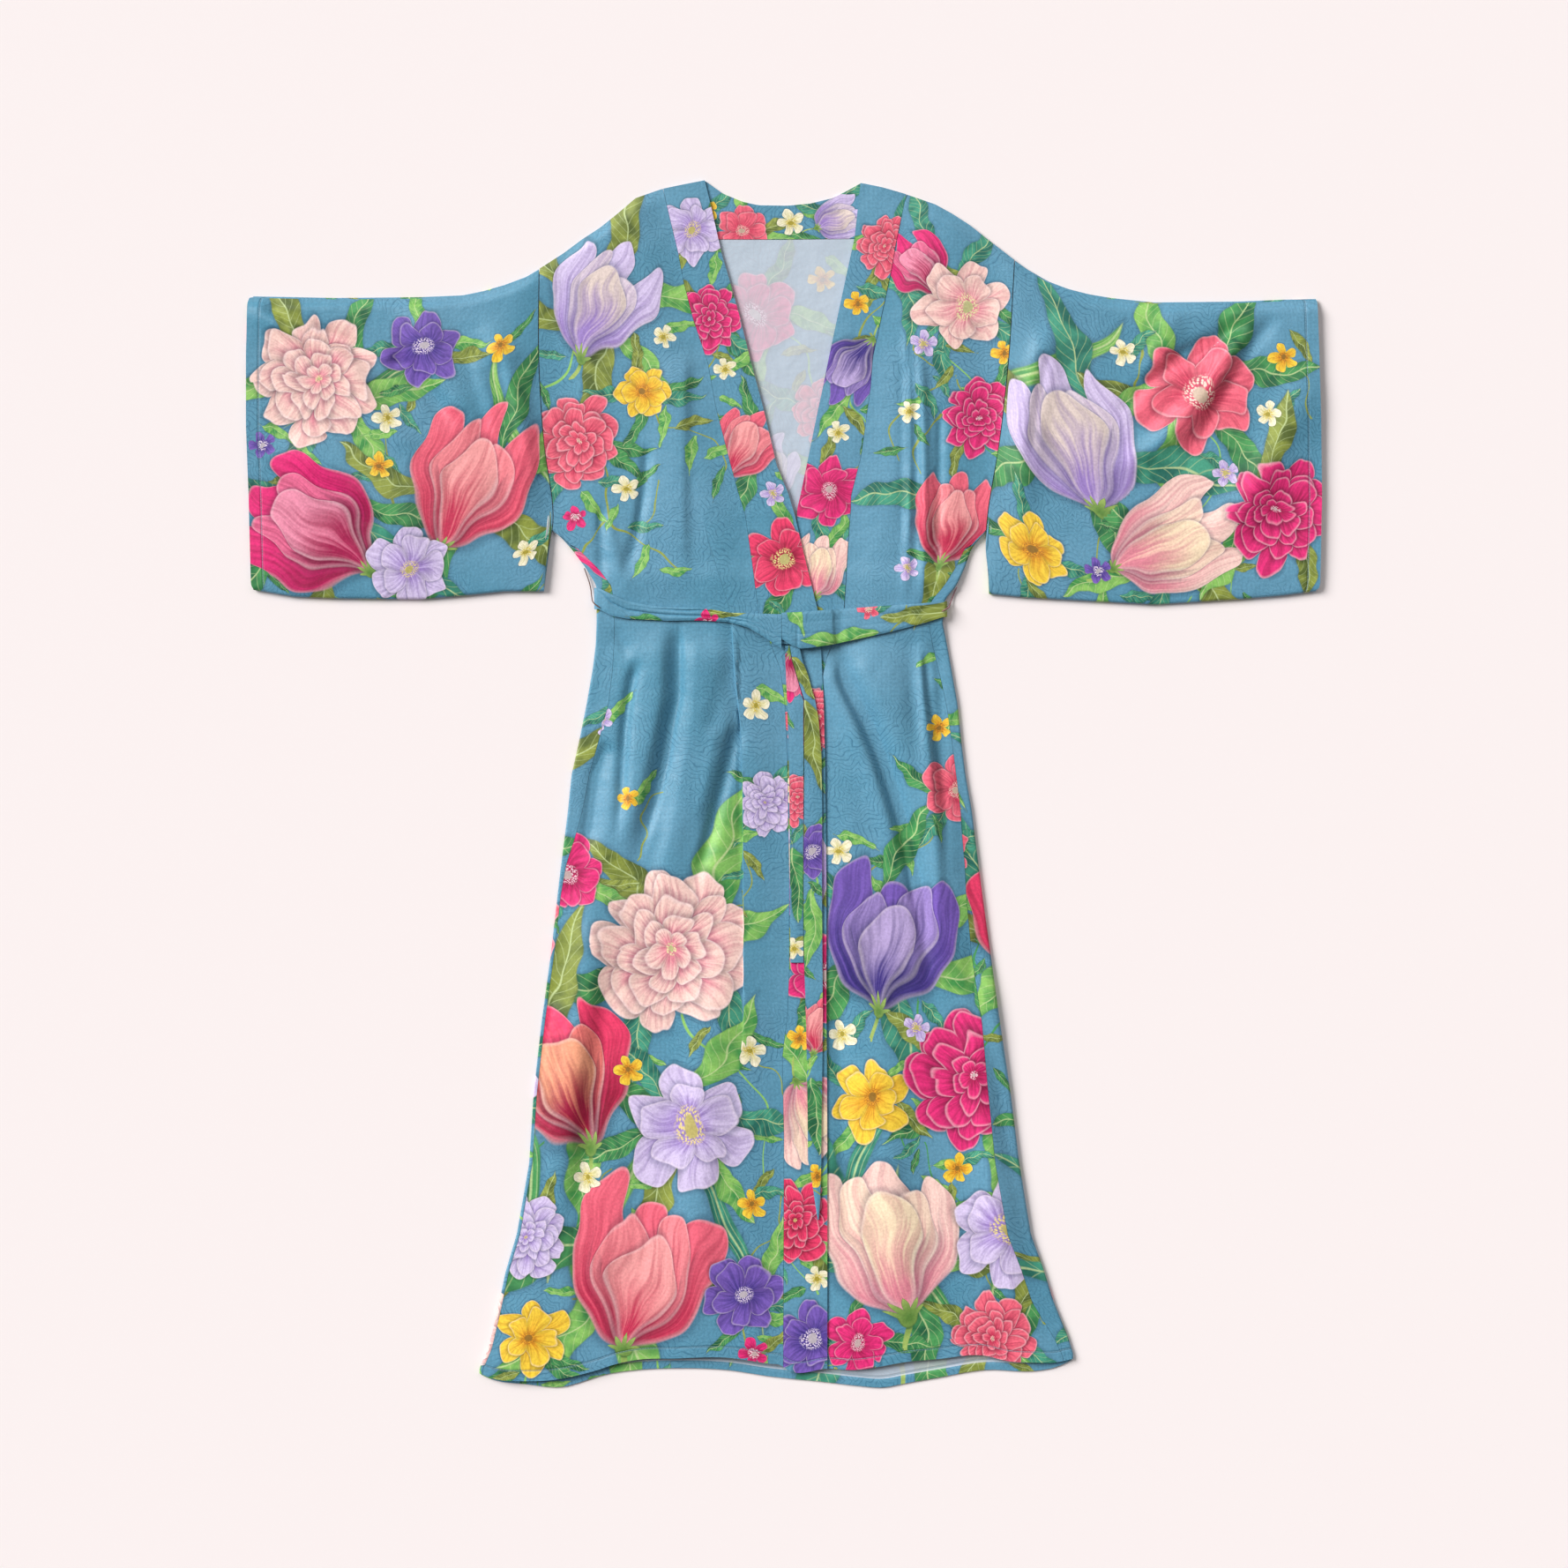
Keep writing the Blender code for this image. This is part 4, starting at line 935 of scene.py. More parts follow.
# Leaves and tendrils grow round each bloom. A leaf takes the first layer in which it has room.
def leavesRound(blooms, seed):
    chance = np.random.default_rng(seed)
    placed = list(blooms)
    taken = {kind: [] for kind in leafKinds}
    greens = list(leafPalettes)

    def spots(x, y, length, degrees):
        return [(*off(x, y, length * k, degrees), length * 0.36) for k in (-0.68, 0, 0.68)]

    def grow(place, length, degrees):
        mine = spots(*place, length, degrees)
        for kind in leafKinds:
            if all(math.hypot(a - c, b - d) > r + q for a, b, r in mine for c, d, q in taken[kind]):
                taken[kind].extend(mine)
                placed.append((kind, *place, length, degrees, greens[chance.integers(4)]))
                return

    for kind, x, y, size, angle, _ in blooms:
        if kind in leafKinds:
            taken[kind].extend(spots(x, y, size, angle))
    for number, (kind, x, y, size, *_) in enumerate(blooms):
        if kind in greenKinds:
            continue
        if kind == "small":
            if number % 2:
                placed.append(("tendril", x + 20, y + 30, 44, chance.uniform(40, 120), "olive"))
            grow((x + 20, y - 12), 24, chance.uniform(-60, 60))
            continue
        for turn in chance.uniform(0, 50) + np.arange(0, 360, 62 if size > 60 else 88):
            turn = turn + chance.uniform(-16, 16)
            length = max(28.0, size * chance.uniform(0.5, 0.95))
            grow(off(x, y, size * 0.66 + length * 0.7, turn), length, turn + chance.uniform(-24, 24))
        # a curling stem with small paired leaves
        turn = chance.uniform(40, 140)
        reach = size * 0.9 + 30
        stem = off(x, y, size + reach * 0.7, turn)
        placed.append(("tendril", *stem, reach, turn, greens[chance.integers(3)]))
        for k in np.linspace(-0.7, 0.8, 5):
            lean = turn + (58 if len(placed) % 2 else -58)
            grow(off(*off(*stem, reach * k, turn), 16, lean), chance.uniform(15, 24), lean)
    return placed


# Each face of the cloth keeps, for every kind, the place and look of the motif that it lies in.
def printMotifs(mesh, node):
    cloth = np.zeros(len(mesh.loops) * 3, np.float32)
    mesh.attributes["cloth"].data.foreach_get("vector", cloth)
    middle = cloth.reshape(-1, 4, 3)[..., :2].mean(1)
    motifs = leavesRound(motifsOf(bloomsOn.get(node, "")), sum(map(ord, node)))
    for kind, (long, wide) in ovals.items():
        place, look = (np.zeros((len(middle), 3), np.float32) for _ in range(2))
        nearest = np.full(len(middle), 1.0)
        names = list(leafPalettes if kind in greenKinds else petalPalettes)
        rows = [motif for motif in motifs if motif[0] == kind]
        for number, (_, x, y, size, angle, palette) in enumerate(rows):
            turn = math.radians(angle)
            dx, dy = middle[:, 0] - x, middle[:, 1] - y
            along = (dx * math.cos(turn) + dy * math.sin(turn)) / (size * long + 4)
            aside = (dy * math.cos(turn) - dx * math.sin(turn)) / (size * wide + 4)
            away = np.hypot(along, aside)
            inside = away < nearest
            nearest[inside] = away[inside]
            place[inside] = (x, y, turn)
            look[inside] = (size, (names.index(palette) + 0.5) / len(names), number * 1.7 + 0.3)
        writeVectors(mesh, kind + "Place", "FACE", place)
        writeVectors(mesh, kind + "Look", "FACE", look)


# Colours are sRGB hex values turned linear.
def linear(hexColour):
    values = [int(hexColour[i:i + 2], 16) / 255 for i in (0, 2, 4)]
    return tuple(v / 12.92 if v <= 0.04045 else ((v + 0.055) / 1.055) ** 2.4 for v in values) + (1.0,)


# Adds one node. Values fill its inputs in order; names that match an input fill that one, and the
# rest are the node's own settings. A word after the kind is its operation, a kind in capitals is an
# operation of Math, and text for a value is a colour.
def addNode(tree, kind, *values, **settings):
    name, _, operation = ("Math " + kind if kind.isupper() else kind).partition(" ")
    node = tree.nodes.new("ShaderNode" + name)
    if operation:
        node.operation = operation
    for i, (at, colour) in enumerate(settings.pop("stops", ())):
        elements = node.color_ramp.elements
        stop = elements[i] if i < 2 else elements.new(at)
        stop.position, stop.color = at, linear(colour)
    for key in list(settings):
        if key not in node.inputs or key == "operation":
            setattr(node, key, settings.pop(key))
    for socket, value in [*zip(node.inputs, values), *((node.inputs[k], v) for k, v in settings.items())]:
        if isinstance(value, bpy.types.Node):
            value = value.outputs[0]
        if isinstance(value, bpy.types.NodeSocket):
            tree.links.new(value, socket)
        elif value is not None:
            socket.default_value = linear(value) if isinstance(value, str) else value
    return node


# Starts a group that paints one kind of motif over the colour it is given.
def motifGroup(name):
    tree = bpy.data.node_groups.new(name, "ShaderNodeTree")
    add = partial(addNode, tree)
    for socket, kind in (("Under", "Color"), ("Cloth", "Vector"), ("Place", "Vector"), ("Look", "Vector")):
        tree.interface.new_socket(socket, in_out="INPUT", socket_type="NodeSocket" + kind)
    tree.interface.new_socket("Painted", in_out="OUTPUT", socket_type="NodeSocketColor")
    under, cloth, placeIn, lookIn = tree.nodes.new("NodeGroupInput").outputs[:4]
    place = add("SeparateXYZ", placeIn)
    look = add("SeparateXYZ", lookIn)
    centre = add("CombineXYZ", place.outputs[0], place.outputs[1])
    moved = add("VectorMath SUBTRACT", cloth, centre)
    # a ten-millionth of the colour below is added, so that a group is worked out after the one
    # below it, which keeps the number of values held at once within what the renderer can hold
    moved = add("VectorMath MULTIPLY_ADD", under, (1e-7, 1e-7, 1e-7), moved)
    turned = add("VectorRotate", moved, rotation_type="Z_AXIS",
                 Angle=add("MULTIPLY", place.outputs[2], -1.0))
    size = add("MAXIMUM", look.outputs[0], 0.001)
    local = add("VectorMath SCALE", turned, Scale=add("DIVIDE", 1.0, size))
    # each drawing is bent a little in its own way, as hand-drawn ones are
    own = add("VectorMath ADD", local, lookIn)
    bent = add("TexNoise", own, Scale=1.8, Detail=0.0, noise_dimensions="2D")
    bent = add("VectorMath SUBTRACT", bent.outputs["Color"], (0.5, 0.5, 0.5))
    local = add("VectorMath MULTIPLY_ADD", bent, (0.26, 0.26, 0.0), local)
    present = add("GREATER_THAN", look.outputs[0], 0.5)
    return add, under, local, look.outputs, lookIn, present


# One colour of every palette, for the palette that the motif's look names.
def paletteColours(add, look, palettes, parts):
    ramps = []
    for part in range(parts):
        stops = [(i / len(palettes), colours[part]) for i, colours in enumerate(palettes.values())]
        ramps.append(add("ValToRGB", look[1], stops=stops))
        ramps[-1].color_ramp.interpolation = "CONSTANT"
    return ramps


def shaded(add, strength, under):
    return add("MixRGB", strength, under, add("MixRGB", 1.0, under, "45607a", blend_type="MULTIPLY"))


def finishGroup(painted):
    tree = painted.id_data
    tree.links.new(painted.outputs[0], tree.nodes.new("NodeGroupOutput").inputs[0])
    return tree


# One ring of petals in polar coordinates. Gives the room left to its edge, the place along a petal,
# how far it is from the petal's middle line, and the place round the ring.
def petalRing(add, under, theta, radius, seed, ring):
    radius = add("MULTIPLY_ADD", under, 1e-7, radius)
    theta = add("MULTIPLY_ADD", under, 1e-7, theta)
    turns = add("MULTIPLY_ADD", theta, ring["count"] / (2 * math.pi), ring["phase"])
    number = add("WRAP", add("FLOOR", turns), float(ring["count"]), 0.0)
    across = add("MULTIPLY_ADD", add("FRACT", turns), 2.0, -1.0)
    side = add("ABSOLUTE", across)
    chance = add("TexWhiteNoise", add("CombineXYZ", number, seed, ring["phase"]), noise_dimensions="3D")
    lobe = add("MULTIPLY_ADD", add("POWER", side, 2.6), -ring["notch"], 1.0)
    reach = add("MULTIPLY", lobe, add("MULTIPLY_ADD", chance, 0.2, 0.88))
    ruffle = add("TexNoise", add("CombineXYZ", turns, add("ADD", seed, ring["reach"] * 9)),
                 noise_dimensions="2D", Scale=ring["waves"], Detail=0.0)
    ragged = add("MULTIPLY_ADD", ruffle, ring["ruffle"], -ring["ruffle"] / 2)
    edge = add("MULTIPLY", add("ADD", reach, ragged), ring["reach"])
    return add("SUBTRACT", edge, radius), add("DIVIDE", radius, edge), side, turns


# A soft shadow just outside the petals, then the petals: streaked, darker at base and sides.
def paintRing(add, under, petals, seed, inner, outer, present, ring):
    room, along, side, turns = petals
    shade = add("MapRange", room, -0.09, 0.01, 0.0, 0.42, interpolation_type="SMOOTHSTEP")
    under = shaded(add, add("MULTIPLY", shade, present), under)
    streaks = add("TexNoise", add("CombineXYZ", add("MULTIPLY", turns, 9.0),
                                  add("MULTIPLY_ADD", along, 1.3, seed)),
                  noise_dimensions="2D", Scale=1.0, Detail=2.0, Roughness=0.6)
    streak = add("MapRange", streaks, 0.34, 0.68, 0.0, 1.0)
    tone = add("MapRange", along, ring["from"], 0.95, 0.0, 1.0, interpolation_type="SMOOTHSTEP")
    tone = add("ADD", tone, add("MULTIPLY_ADD", streak, 0.5, -0.25))
    colour = add("MixRGB", tone, inner, outer, use_clamp=True)
    lit = add("MULTIPLY_ADD", add("POWER", side, 3.0), -0.34, 1.05)
    lit = add("MULTIPLY", lit, add("MULTIPLY_ADD", streak, 0.22, 0.86))
    colour = add("VectorMath SCALE", colour, Scale=lit)
    rim = add("MapRange", room, 0.0, 0.05, ring["rim"], 0.0)
    colour = add("MixRGB", rim, colour, "fdeef0")
    cover = add("MapRange", room, 0.0, 0.018, 0.0, 1.0)
    return add("MixRGB", add("MULTIPLY", cover, present), under, colour)


def bloomGroup(name, rings, dots, heart):
    add, painted, local, look, _, present = motifGroup(name)
    part = add("SeparateXYZ", local)
    theta = add("ARCTAN2", part.outputs[1], part.outputs[0])
    radius = add("VectorMath LENGTH", local).outputs["Value"]
    outer, inner, core = paletteColours(add, look, petalPalettes, 3)
    for ring in rings:
        petals = petalRing(add, painted, theta, radius, look[2], ring)
        painted = paintRing(add, painted, petals, look[2], inner, outer, present, ring)
    # stamens: dots round a soft heart
    dotted = add("TexVoronoi", local, voronoi_dimensions="2D", Scale=dots)
    grain = add("MapRange", dotted, 0.25, 0.5, 1.0, 0.0)
    zone = add("MapRange", radius, heart, heart * 1.35, 1.0, 0.0)
    spots = add("MULTIPLY", add("MULTIPLY", grain, zone), present)
    painted = add("MixRGB", spots, painted, core)
    middle = add("MapRange", radius, heart * 0.5, heart * 0.62, 1.0, 0.0)
    middle = add("MULTIPLY", middle, present)
    return finishGroup(add("MixRGB", middle, painted, add("MixRGB", 0.45, core, "5e6b2a")))


# A cupped bloom seen from the side: its petals fan up from a base and close in at their tips.
def fanGroup(name, rings):
    add, painted, local, look, _, present = motifGroup(name)
    raised = add("SeparateXYZ", local)
    beside = raised.outputs[0]
    upward = add("MULTIPLY_ADD", raised.outputs[1], -1.0, 0.86)
    radius = add("SQRT", add("ADD", add("MULTIPLY", upward, upward), add("MULTIPLY", beside, beside)))
    lean = add("ARCTAN2", beside, upward)
    closing = add("MULTIPLY_ADD", add("MULTIPLY", radius, radius), 0.30, 0.62)
    theta = add("MULTIPLY", lean, closing)
    outer, inner, core = paletteColours(add, look, petalPalettes, 3)
    for number, ring in enumerate(rings):
        room, *others = petalRing(add, painted, theta, radius, look[2], ring)
        limit = add("SUBTRACT", ring["spread"], add("ABSOLUTE", theta))
        room = add("MINIMUM", room, add("MULTIPLY", limit, radius))
        front = add("MixRGB", 0.22 * number, outer, core)
        painted = paintRing(add, painted, (room, *others), look[2], inner, front, present, ring)
    # the cup of green at its base, and the start of the stem
    sepals = add("PINGPONG", add("ADD", lean, 0.31), 0.31)
    upper = add("MapRange", add("ABSOLUTE", lean), 1.1, 1.7, 0.44, 0.0)
    room = add("SUBTRACT", add("MULTIPLY_ADD", sepals, upper, 0.085), radius)
    cup = add("MapRange", room, 0.0, 0.008, 0.0, 1.0)
    stem = add("MapRange", add("ABSOLUTE", beside), 0.022, 0.032, 1.0, 0.0)
    stem = add("MULTIPLY", stem, add("MapRange", upward, -0.02, 0.02, 1.0, 0.0))
    green = add("MULTIPLY", add("MAXIMUM", cup, stem), present)
    shade = add("MixRGB", add("MapRange", radius, 0.02, 0.2, 0.0, 1.0), "5f8a3a", "a9c266")
    edge = add("MapRange", add("ABSOLUTE", room), 0.004, 0.02, 0.75, 0.0)
    return finishGroup(add("MixRGB", green, painted, add("MixRGB", edge, shade, "3d6630")))


def leafGroup(name, form):
    add, under, local, look, lookIn, present = motifGroup(name)
    part = add("SeparateXYZ", local)
    x = part.outputs[0]
    bend = add("MULTIPLY", add("SINE", add("MULTIPLY", look[2], 9.0)), form["bend"])
    square = add("MULTIPLY", x, x)
    y = add("MULTIPLY_ADD", add("SUBTRACT", 0.5, square), bend, part.outputs[1])
    side = add("ABSOLUTE", y)
    oval = add("POWER", add("MAXIMUM", add("SUBTRACT", 1.0, square), 0.0), 0.85)
    width = add("MULTIPLY", oval, add("MULTIPLY_ADD", x, form["taper"], form["width"]))
    wave = add("TexNoise", add("CombineXYZ", x, look[2]), Scale=3.0, Detail=0.0, noise_dimensions="2D")
    width = add("MULTIPLY_ADD", wave, form["ruffle"], add("SUBTRACT", width, form["ruffle"] / 2))
    room = add("SUBTRACT", width, side)
    light, dark = paletteColours(add, look, leafPalettes, 2)
    mottle = add("TexNoise", add("VectorMath MULTIPLY", add("VectorMath ADD", local, lookIn),
                                 (1.0, form["streaks"], 1.0)), Scale=3.2, Detail=1.0, noise_dimensions="2D")
    half = add("MapRange", y, -0.02, 0.02, 0.05, 0.4)
    tone = add("ADD", half, add("MapRange", mottle, 0.36, 0.64, -0.15, 0.6))
    colour = add("MixRGB", tone, light, dark, use_clamp=True)
    # side veins slant forward from the midrib of a broad leaf, and run along a strap
    if form["veins"] == "slanting":
        vein = add("PINGPONG", add("MULTIPLY_ADD", side, -1.1, x), 0.085)
    else:
        vein = add("DIVIDE", side, add("MULTIPLY_ADD", oval, 2.2, 0.2))
        vein = add("PINGPONG", vein, 0.012)
    line = add("MapRange", vein, 0.0, form["vein"], 0.45, 0.0)
    rib = add("MapRange", side, 0.005, 0.018, 0.75, 0.0)
    colour = add("MixRGB", add("MAXIMUM", line, rib), colour, "cfe0a0")
    colour = add("MixRGB", add("MapRange", room, 0.0, 0.03, 0.45, 0.0), colour, "2f5a34")
    shade = add("MULTIPLY", add("MapRange", room, -0.06, 0.01, 0.0, 0.3), present)
    cover = add("MULTIPLY", add("MapRange", room, 0.0, 0.02, 0.0, 1.0), present)
    return finishGroup(add("MixRGB", cover, shaded(add, shade, under), colour))


def tendrilGroup(name):
    add, under, local, look, _, present = motifGroup(name)
    part = add("SeparateXYZ", local)
    x = part.outputs[0]
    swing = add("SINE", add("MULTIPLY_ADD", x, 3.1, look[2]))
    y = add("MULTIPLY_ADD", swing, -0.22, part.outputs[1])
    thick = add("DIVIDE", 1.1, look[0])
    room = add("SUBTRACT", thick, add("MULTIPLY", add("ABSOLUTE", y), 0.8))
    cover = add("MapRange", add("MULTIPLY", room, look[0]), 0.0, 0.6, 0.0, 1.0)
    ends = add("MapRange", add("ABSOLUTE", x), 0.9, 0.93, 1.0, 0.0)
    cover = add("MULTIPLY", add("MULTIPLY", cover, ends), present)
    return finishGroup(add("MixRGB", cover, under, *paletteColours(add, look, leafPalettes, 1)))


# Rings of petals, from the outermost in: how many petals, how far they reach, how deep the notches
# between them are, how ragged and how pale their rims are, and where the outer colour starts.
def ringsOf(names, *rows, **shared):
    return [dict(zip(names.split(), row), **shared) for row in rows]


petals = "count phase reach notch ruffle rim from"
openRings = ringsOf(petals, (6, 0.0, 1.0, 0.34, 0.14, 0.45, 0.1), (5, 0.5, 0.74, 0.36, 0.16, 0.4, 0.1),
                    waves=3.2)
rosetteRings = ringsOf(
    petals, (9, 0.0, 1.0, 0.22, 0.10, 0.5, 0.5), (8, 0.5, 0.82, 0.24, 0.12, 0.5, 0.45),
    (7, 0.2, 0.63, 0.26, 0.12, 0.5, 0.4), (6, 0.7, 0.44, 0.28, 0.14, 0.5, 0.3),
    (5, 0.1, 0.26, 0.3, 0.14, 0.4, 0.2), waves=3.2)
smallRings = ringsOf(petals, (5, 0.0, 1.0, 0.55, 0.06, 0.2, 0.2), waves=3.2)
fanRings = ringsOf(
    "count phase reach notch ruffle spread", (13, 0.5, 1.74, 0.30, 0.10, 0.73),
    (13, 0.0, 1.56, 0.32, 0.10, 0.48), (9, 0.5, 1.36, 0.34, 0.08, 0.35),
    **{"rim": 0.35, "from": 0.15, "waves": 2.2})
broadLeaf = {"width": 0.27, "taper": -0.09, "bend": 0.16, "ruffle": 0.06, "streaks": 1.0,
             "veins": "slanting", "vein": 0.014}
strapLeaf = {"width": 0.105, "taper": -0.04, "bend": 0.22, "ruffle": 0.01, "streaks": 9.0,
             "veins": "along", "vein": 0.004}
groups = {
    "tendril": tendrilGroup("tendril"), "strap": leafGroup("strap", strapLeaf),
    "fan": fanGroup("fan", fanRings), "open": bloomGroup("open", openRings, 26.0, 0.2),
    "rosette": bloomGroup("rosette", rosetteRings, 40.0, 0.05),
    "small": bloomGroup("small", smallRings, 9.0, 0.3),
    **{kind: leafGroup(kind, broadLeaf) for kind in leafKinds},
}

satinLook = {
    "ground": ("659db9", "5896b1"),     # it wanders between these two
    "scallops": 74.0,       # millimetres from one engraved patch to the next
    "engraving": "1f5a7a",
    "keys": ("2f6c8c", 0.09, 3.4),      # diamond weave: colour, strength, size
    "reverse": ("dcdfe8", 0.68),
    "roughness": (0.44, 0.54),
    "Anisotropic": 0.45,
    "Specular IOR Level": 0.45,
    "Sheen Weight": 0.12,
    "Sheen Roughness": 0.35,
}


def materialOf(name):
    material = bpy.data.materials.new(name)
    material.use_nodes = True
    tree = material.node_tree
    return material, tree, tree.nodes["Principled BSDF"].inputs


# Woven satin viscose, printed. Long warp floats give a soft sheen; the reverse is paler and duller.
def printedSatin(name):
    material, tree, surface = materialOf(name)
    add = partial(addNode, tree)
    cloth = add("Attribute", attribute_name="cloth").outputs["Vector"]
    # tonal engraving on the ground: scalloped rings of fine darker lines, in patches
    cells = add("TexVoronoi", cloth, voronoi_dimensions="2D", Scale=1 / satinLook["scallops"], Randomness=0.8)
    inCell = add("VectorMath SUBTRACT", cloth, cells.outputs["Position"])
    spot = add("SeparateXYZ", inCell)
    swirl = add("ARCTAN2", spot.outputs[1], spot.outputs[0])
    far = add("VectorMath LENGTH", inCell).outputs["Value"]
    scallop = add("ABSOLUTE", add("SINE", add("MULTIPLY", swirl, 4.5)))
    warp = add("TexNoise", cloth, Scale=0.05, Detail=1.0, noise_dimensions="2D")
    wave = add("MULTIPLY_ADD", scallop, 5.0, add("MULTIPLY_ADD", warp, 14.0, far))
    lines = add("MapRange", add("PINGPONG", wave, 2.6), 0.0, 0.8, 1.0, 0.0)
    patches = add("TexNoise", cloth, Scale=0.0085, Detail=1.0, noise_dimensions="2D")
    patch = add("MapRange", patches, 0.45, 0.56, 0.08, 0.58)
    # small diamond key weave, drawn coarser than the real one so that it shows
    tilted = add("VectorRotate", cloth, rotation_type="Z_AXIS", Angle=math.radians(45))
    keyColour, keyStrength, keySize = satinLook["keys"]
    keys = add("TexChecker", tilted, Scale=1 / keySize)
    tint = add("TexNoise", cloth, Scale=0.006, Detail=2.0, noise_dimensions="2D")
    colour = add("MixRGB", add("MapRange", tint, 0.35, 0.65, 0.0, 1.0), *satinLook["ground"])
    colour = add("MixRGB", add("MULTIPLY", keys.outputs["Fac"], keyStrength), colour, keyColour)
    colour = add("MixRGB", add("MULTIPLY", lines, patch), colour, satinLook["engraving"])
    for kind in ovals:
        group = tree.nodes.new("ShaderNodeGroup")
        group.node_tree = groups[kind]
        place, look = (add("Attribute", attribute_name=kind + part).outputs["Vector"]
                       for part in ("Place", "Look"))
        for socket, value in zip(group.inputs, (colour.outputs[0], cloth, place, look)):
            tree.links.new(value, socket)
        colour = group
    # the weave breaks the ink into flecks about 3 mm across
    flecks = add("TexNoise", cloth, Scale=0.36, Detail=2.0, noise_dimensions="2D")
    colour = add("VectorMath SCALE", colour, Scale=add("MapRange", flecks, 0.3, 0.7, 0.90, 1.08))
    reverse = add("Attribute", attribute_name="reverse").outputs["Fac"]
    paleColour, paleness = satinLook["reverse"]
    colour = add("MixRGB", reverse, colour, add("MixRGB", paleness, colour, paleColour))
    # hem stitches 2.6 mm long with 0.5 mm between them, drawn into the cloth; the furrow along them is sunk
    # by a bump and also darkened with painted shade
    sewn = add("SeparateXYZ", add("Attribute", attribute_name="stitch").outputs["Vector"])
    beside = add("ABSOLUTE", sewn.outputs[0])
    gapAlong = add("PINGPONG", sewn.outputs[1], 1.55)
    stitch = add("MULTIPLY", add("MapRange", beside, 0.25, 0.5, 1.0, 0.0),
                 add("MapRange", gapAlong, 0.2, 0.4, 0.0, 1.0))
    furrowAndPaintedShade = add("MapRange", beside, 0.3, 2.2, 1.0, 0.0, interpolation_type="SMOOTHSTEP")
    # painted shade: the cloth within 2.2 mm of the stitch line is darkened towards dark blue, as shade in the
    # furrow would be
    colour = add("MixRGB", add("MULTIPLY", furrowAndPaintedShade, 0.22), colour, "1d4459")
    colour = add("MixRGB", add("MULTIPLY", stitch, 0.55), colour, "8fb4c8")
    # warp floats 0.4 mm wide run down the cloth, with slubs a few centimetres long
    stretched = add("VectorMath MULTIPLY", cloth, (1.0, 0.04, 1.0))
    threads = add("TexNoise", stretched, Scale=1.2, Detail=1.0, noise_dimensions="2D")
    crumple = add("TexNoise", cloth, Scale=0.03, Detail=3.0, Roughness=0.5, noise_dimensions="2D")
    bump = add("Bump", Strength=0.05, Distance=0.0004, Height=threads)
    bump = add("Bump", Strength=0.6, Distance=0.0008, Height=add("SUBTRACT", stitch, furrowAndPaintedShade), Normal=bump)
    bump = add("Bump", Strength=0.4, Distance=0.0036, Height=crumple, Normal=bump)
    rough = add("MapRange", threads, 0.3, 0.7, *satinLook["roughness"])
    # long warp floats stretch the highlights across the cloth
    warpLine = add("Tangent", direction_type="UV_MAP", uv_map="clothMap")
    for socket, node in (("Base Color", colour), ("Normal", bump), ("Roughness", rough),
                         ("Tangent", warpLine)):
        tree.links.new(node.outputs[0], surface[socket])
    for socket in ("Anisotropic", "Specular IOR Level", "Sheen Weight", "Sheen Roughness"):
        surface[socket].default_value = satinLook[socket]
    return material


# The cut of what shows, in metres: width, length, and area where it isn't a rectangle.
cuts = {
    "back_panel": (0.691, 1.358, 0.695), "band_neck": (0.260, 0.066, 0.0125),
    "front_left": (0.363, 1.350, 0.314), "front_right": (0.280, 1.332, 0.220),
    "band_left": (0.051, 1.360, None), "band_right": (0.053, 1.360, None),
    "sleeve_left": (0.737, 0.347, 0.232), "sleeve_right": (0.764, 0.380, 0.253),
    "belt_back": (0.039, 0.386, None), "belt_left": (0.021, 0.224, None),
    "belt_right": (0.034, 0.190, None), "belt_knot": (0.032, 0.040, None),
    "belt_fall": (0.0135, 0.0625, None), "belt_tail_short": (0.016, 0.3585, None),
    "belt_tail_long": (0.0192, 0.589, None),
}
satin = printedSatin("printedSatinViscose")
for node, (width, length, area) in cuts.items():
    printMotifs(dressed[node].data, node)
    dressed[node].data.materials.append(satin)
print("print laid on the cloth")

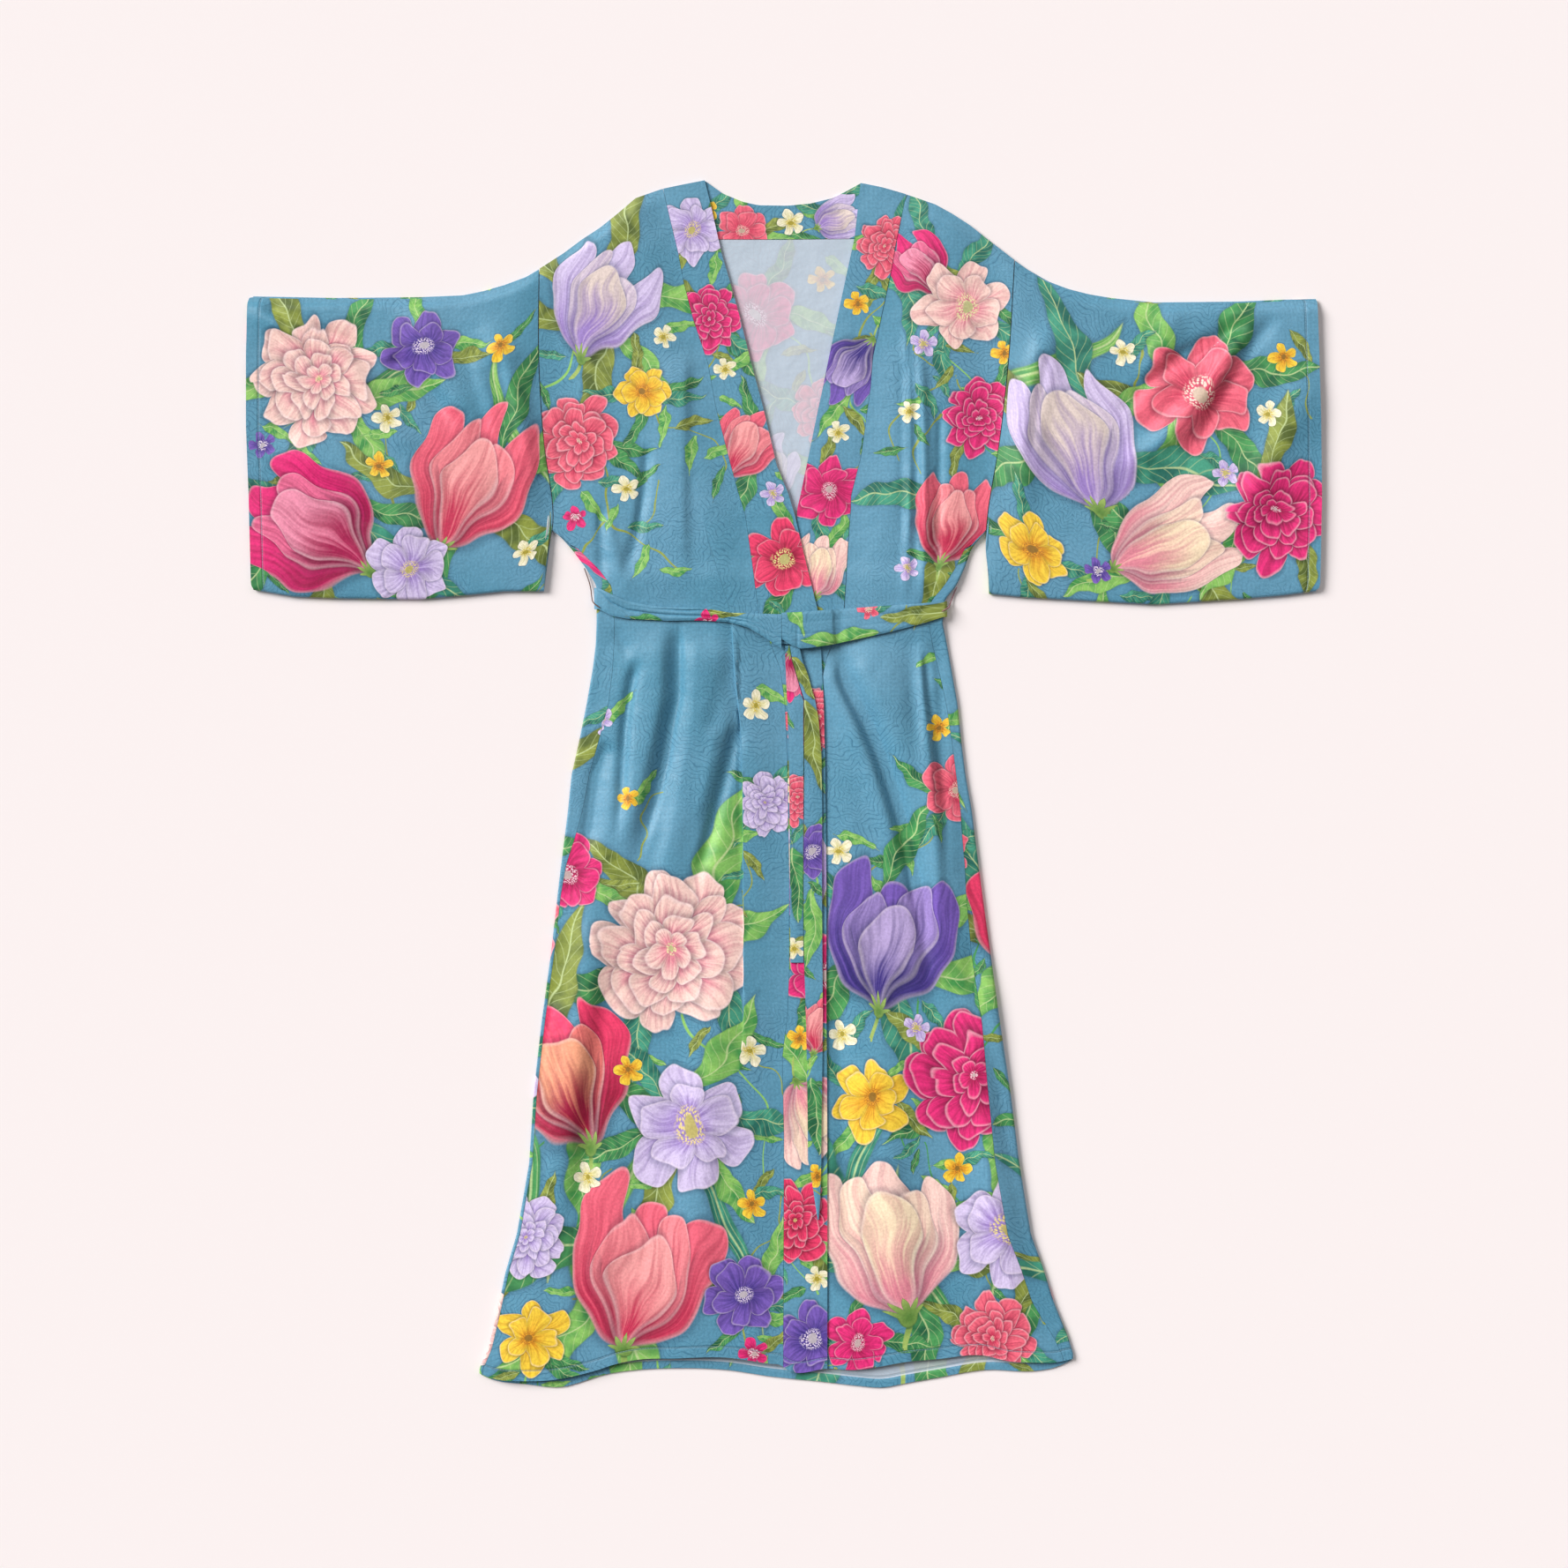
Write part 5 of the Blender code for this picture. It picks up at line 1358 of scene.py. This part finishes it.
# Chained polyester thread: brown at one side, faded pink at the other, dull with a light fuzz.
for side, colour in (("left", "8a6a5c"), ("right", "c98a98")):
    thread, tree, surface = materialOf("chainedThread_" + side)
    add = partial(addNode, tree)
    fibre = add("TexNoise", add("TexCoord").outputs["Object"], Scale=2400.0, Detail=2.0)
    tone = add("MixRGB", fibre, colour, "4f3430")
    fuzz = add("Bump", Strength=0.4, Distance=0.0001, Height=fibre)
    tree.links.new(tone.outputs[0], surface["Base Color"])
    tree.links.new(fuzz.outputs[0], surface["Normal"])
    surface["Roughness"].default_value = 0.75
    loops[side].data.materials.append(thread)

studio = {
    "floor": "fcf2f1",
    # two far soft suns, each with its place, angle and strength: the key low on the left draws
    # the folds, the other stands above the robe
    "lights": {"key": ((-5.2, 3.0, 4.05), 0.6, 3.84), "top": ((2.6, 4.5, 6.2), 0.9, 0.52)},
    "sky": 0.19,            # with both suns it sums to 1 on the floor, which shows its own colour
    "view": 1.778,          # metres of the floor across the picture
    "lens": 85,
    "sensor": 36,
}
bpy.ops.mesh.primitive_plane_add(size=40, location=(0, 0, -0.0006))
floor = bpy.context.object
floor.name = "floor"
paper, _, surface = materialOf("palePaper")
surface["Base Color"].default_value = linear(studio["floor"])
surface["Roughness"].default_value = 0.9
floor.data.materials.append(paper)

for name, (place, angle, strength) in studio["lights"].items():
    data = bpy.data.lights.new(name, "SUN")
    data.energy, data.angle = strength, angle
    lamp = objectOf(name, data)
    lamp.location = place
    lamp.rotation_euler = (-Vector(place)).to_track_quat("-Z", "Y").to_euler()
scene = bpy.context.scene
scene.world = bpy.data.worlds.new("studio")
scene.world.use_nodes = True
background = scene.world.node_tree.nodes["Background"].inputs
background["Color"].default_value = linear("ffffff")
background["Strength"].default_value = studio["sky"]
scene.view_settings.view_transform = "Standard"

lens = bpy.data.cameras.new("camera")
lens.lens, lens.sensor_width = studio["lens"], studio["sensor"]
scene.camera = objectOf("camera", lens)
scene.camera.location = (0, 0, studio["view"] * studio["lens"] / studio["sensor"])
print("stage set")
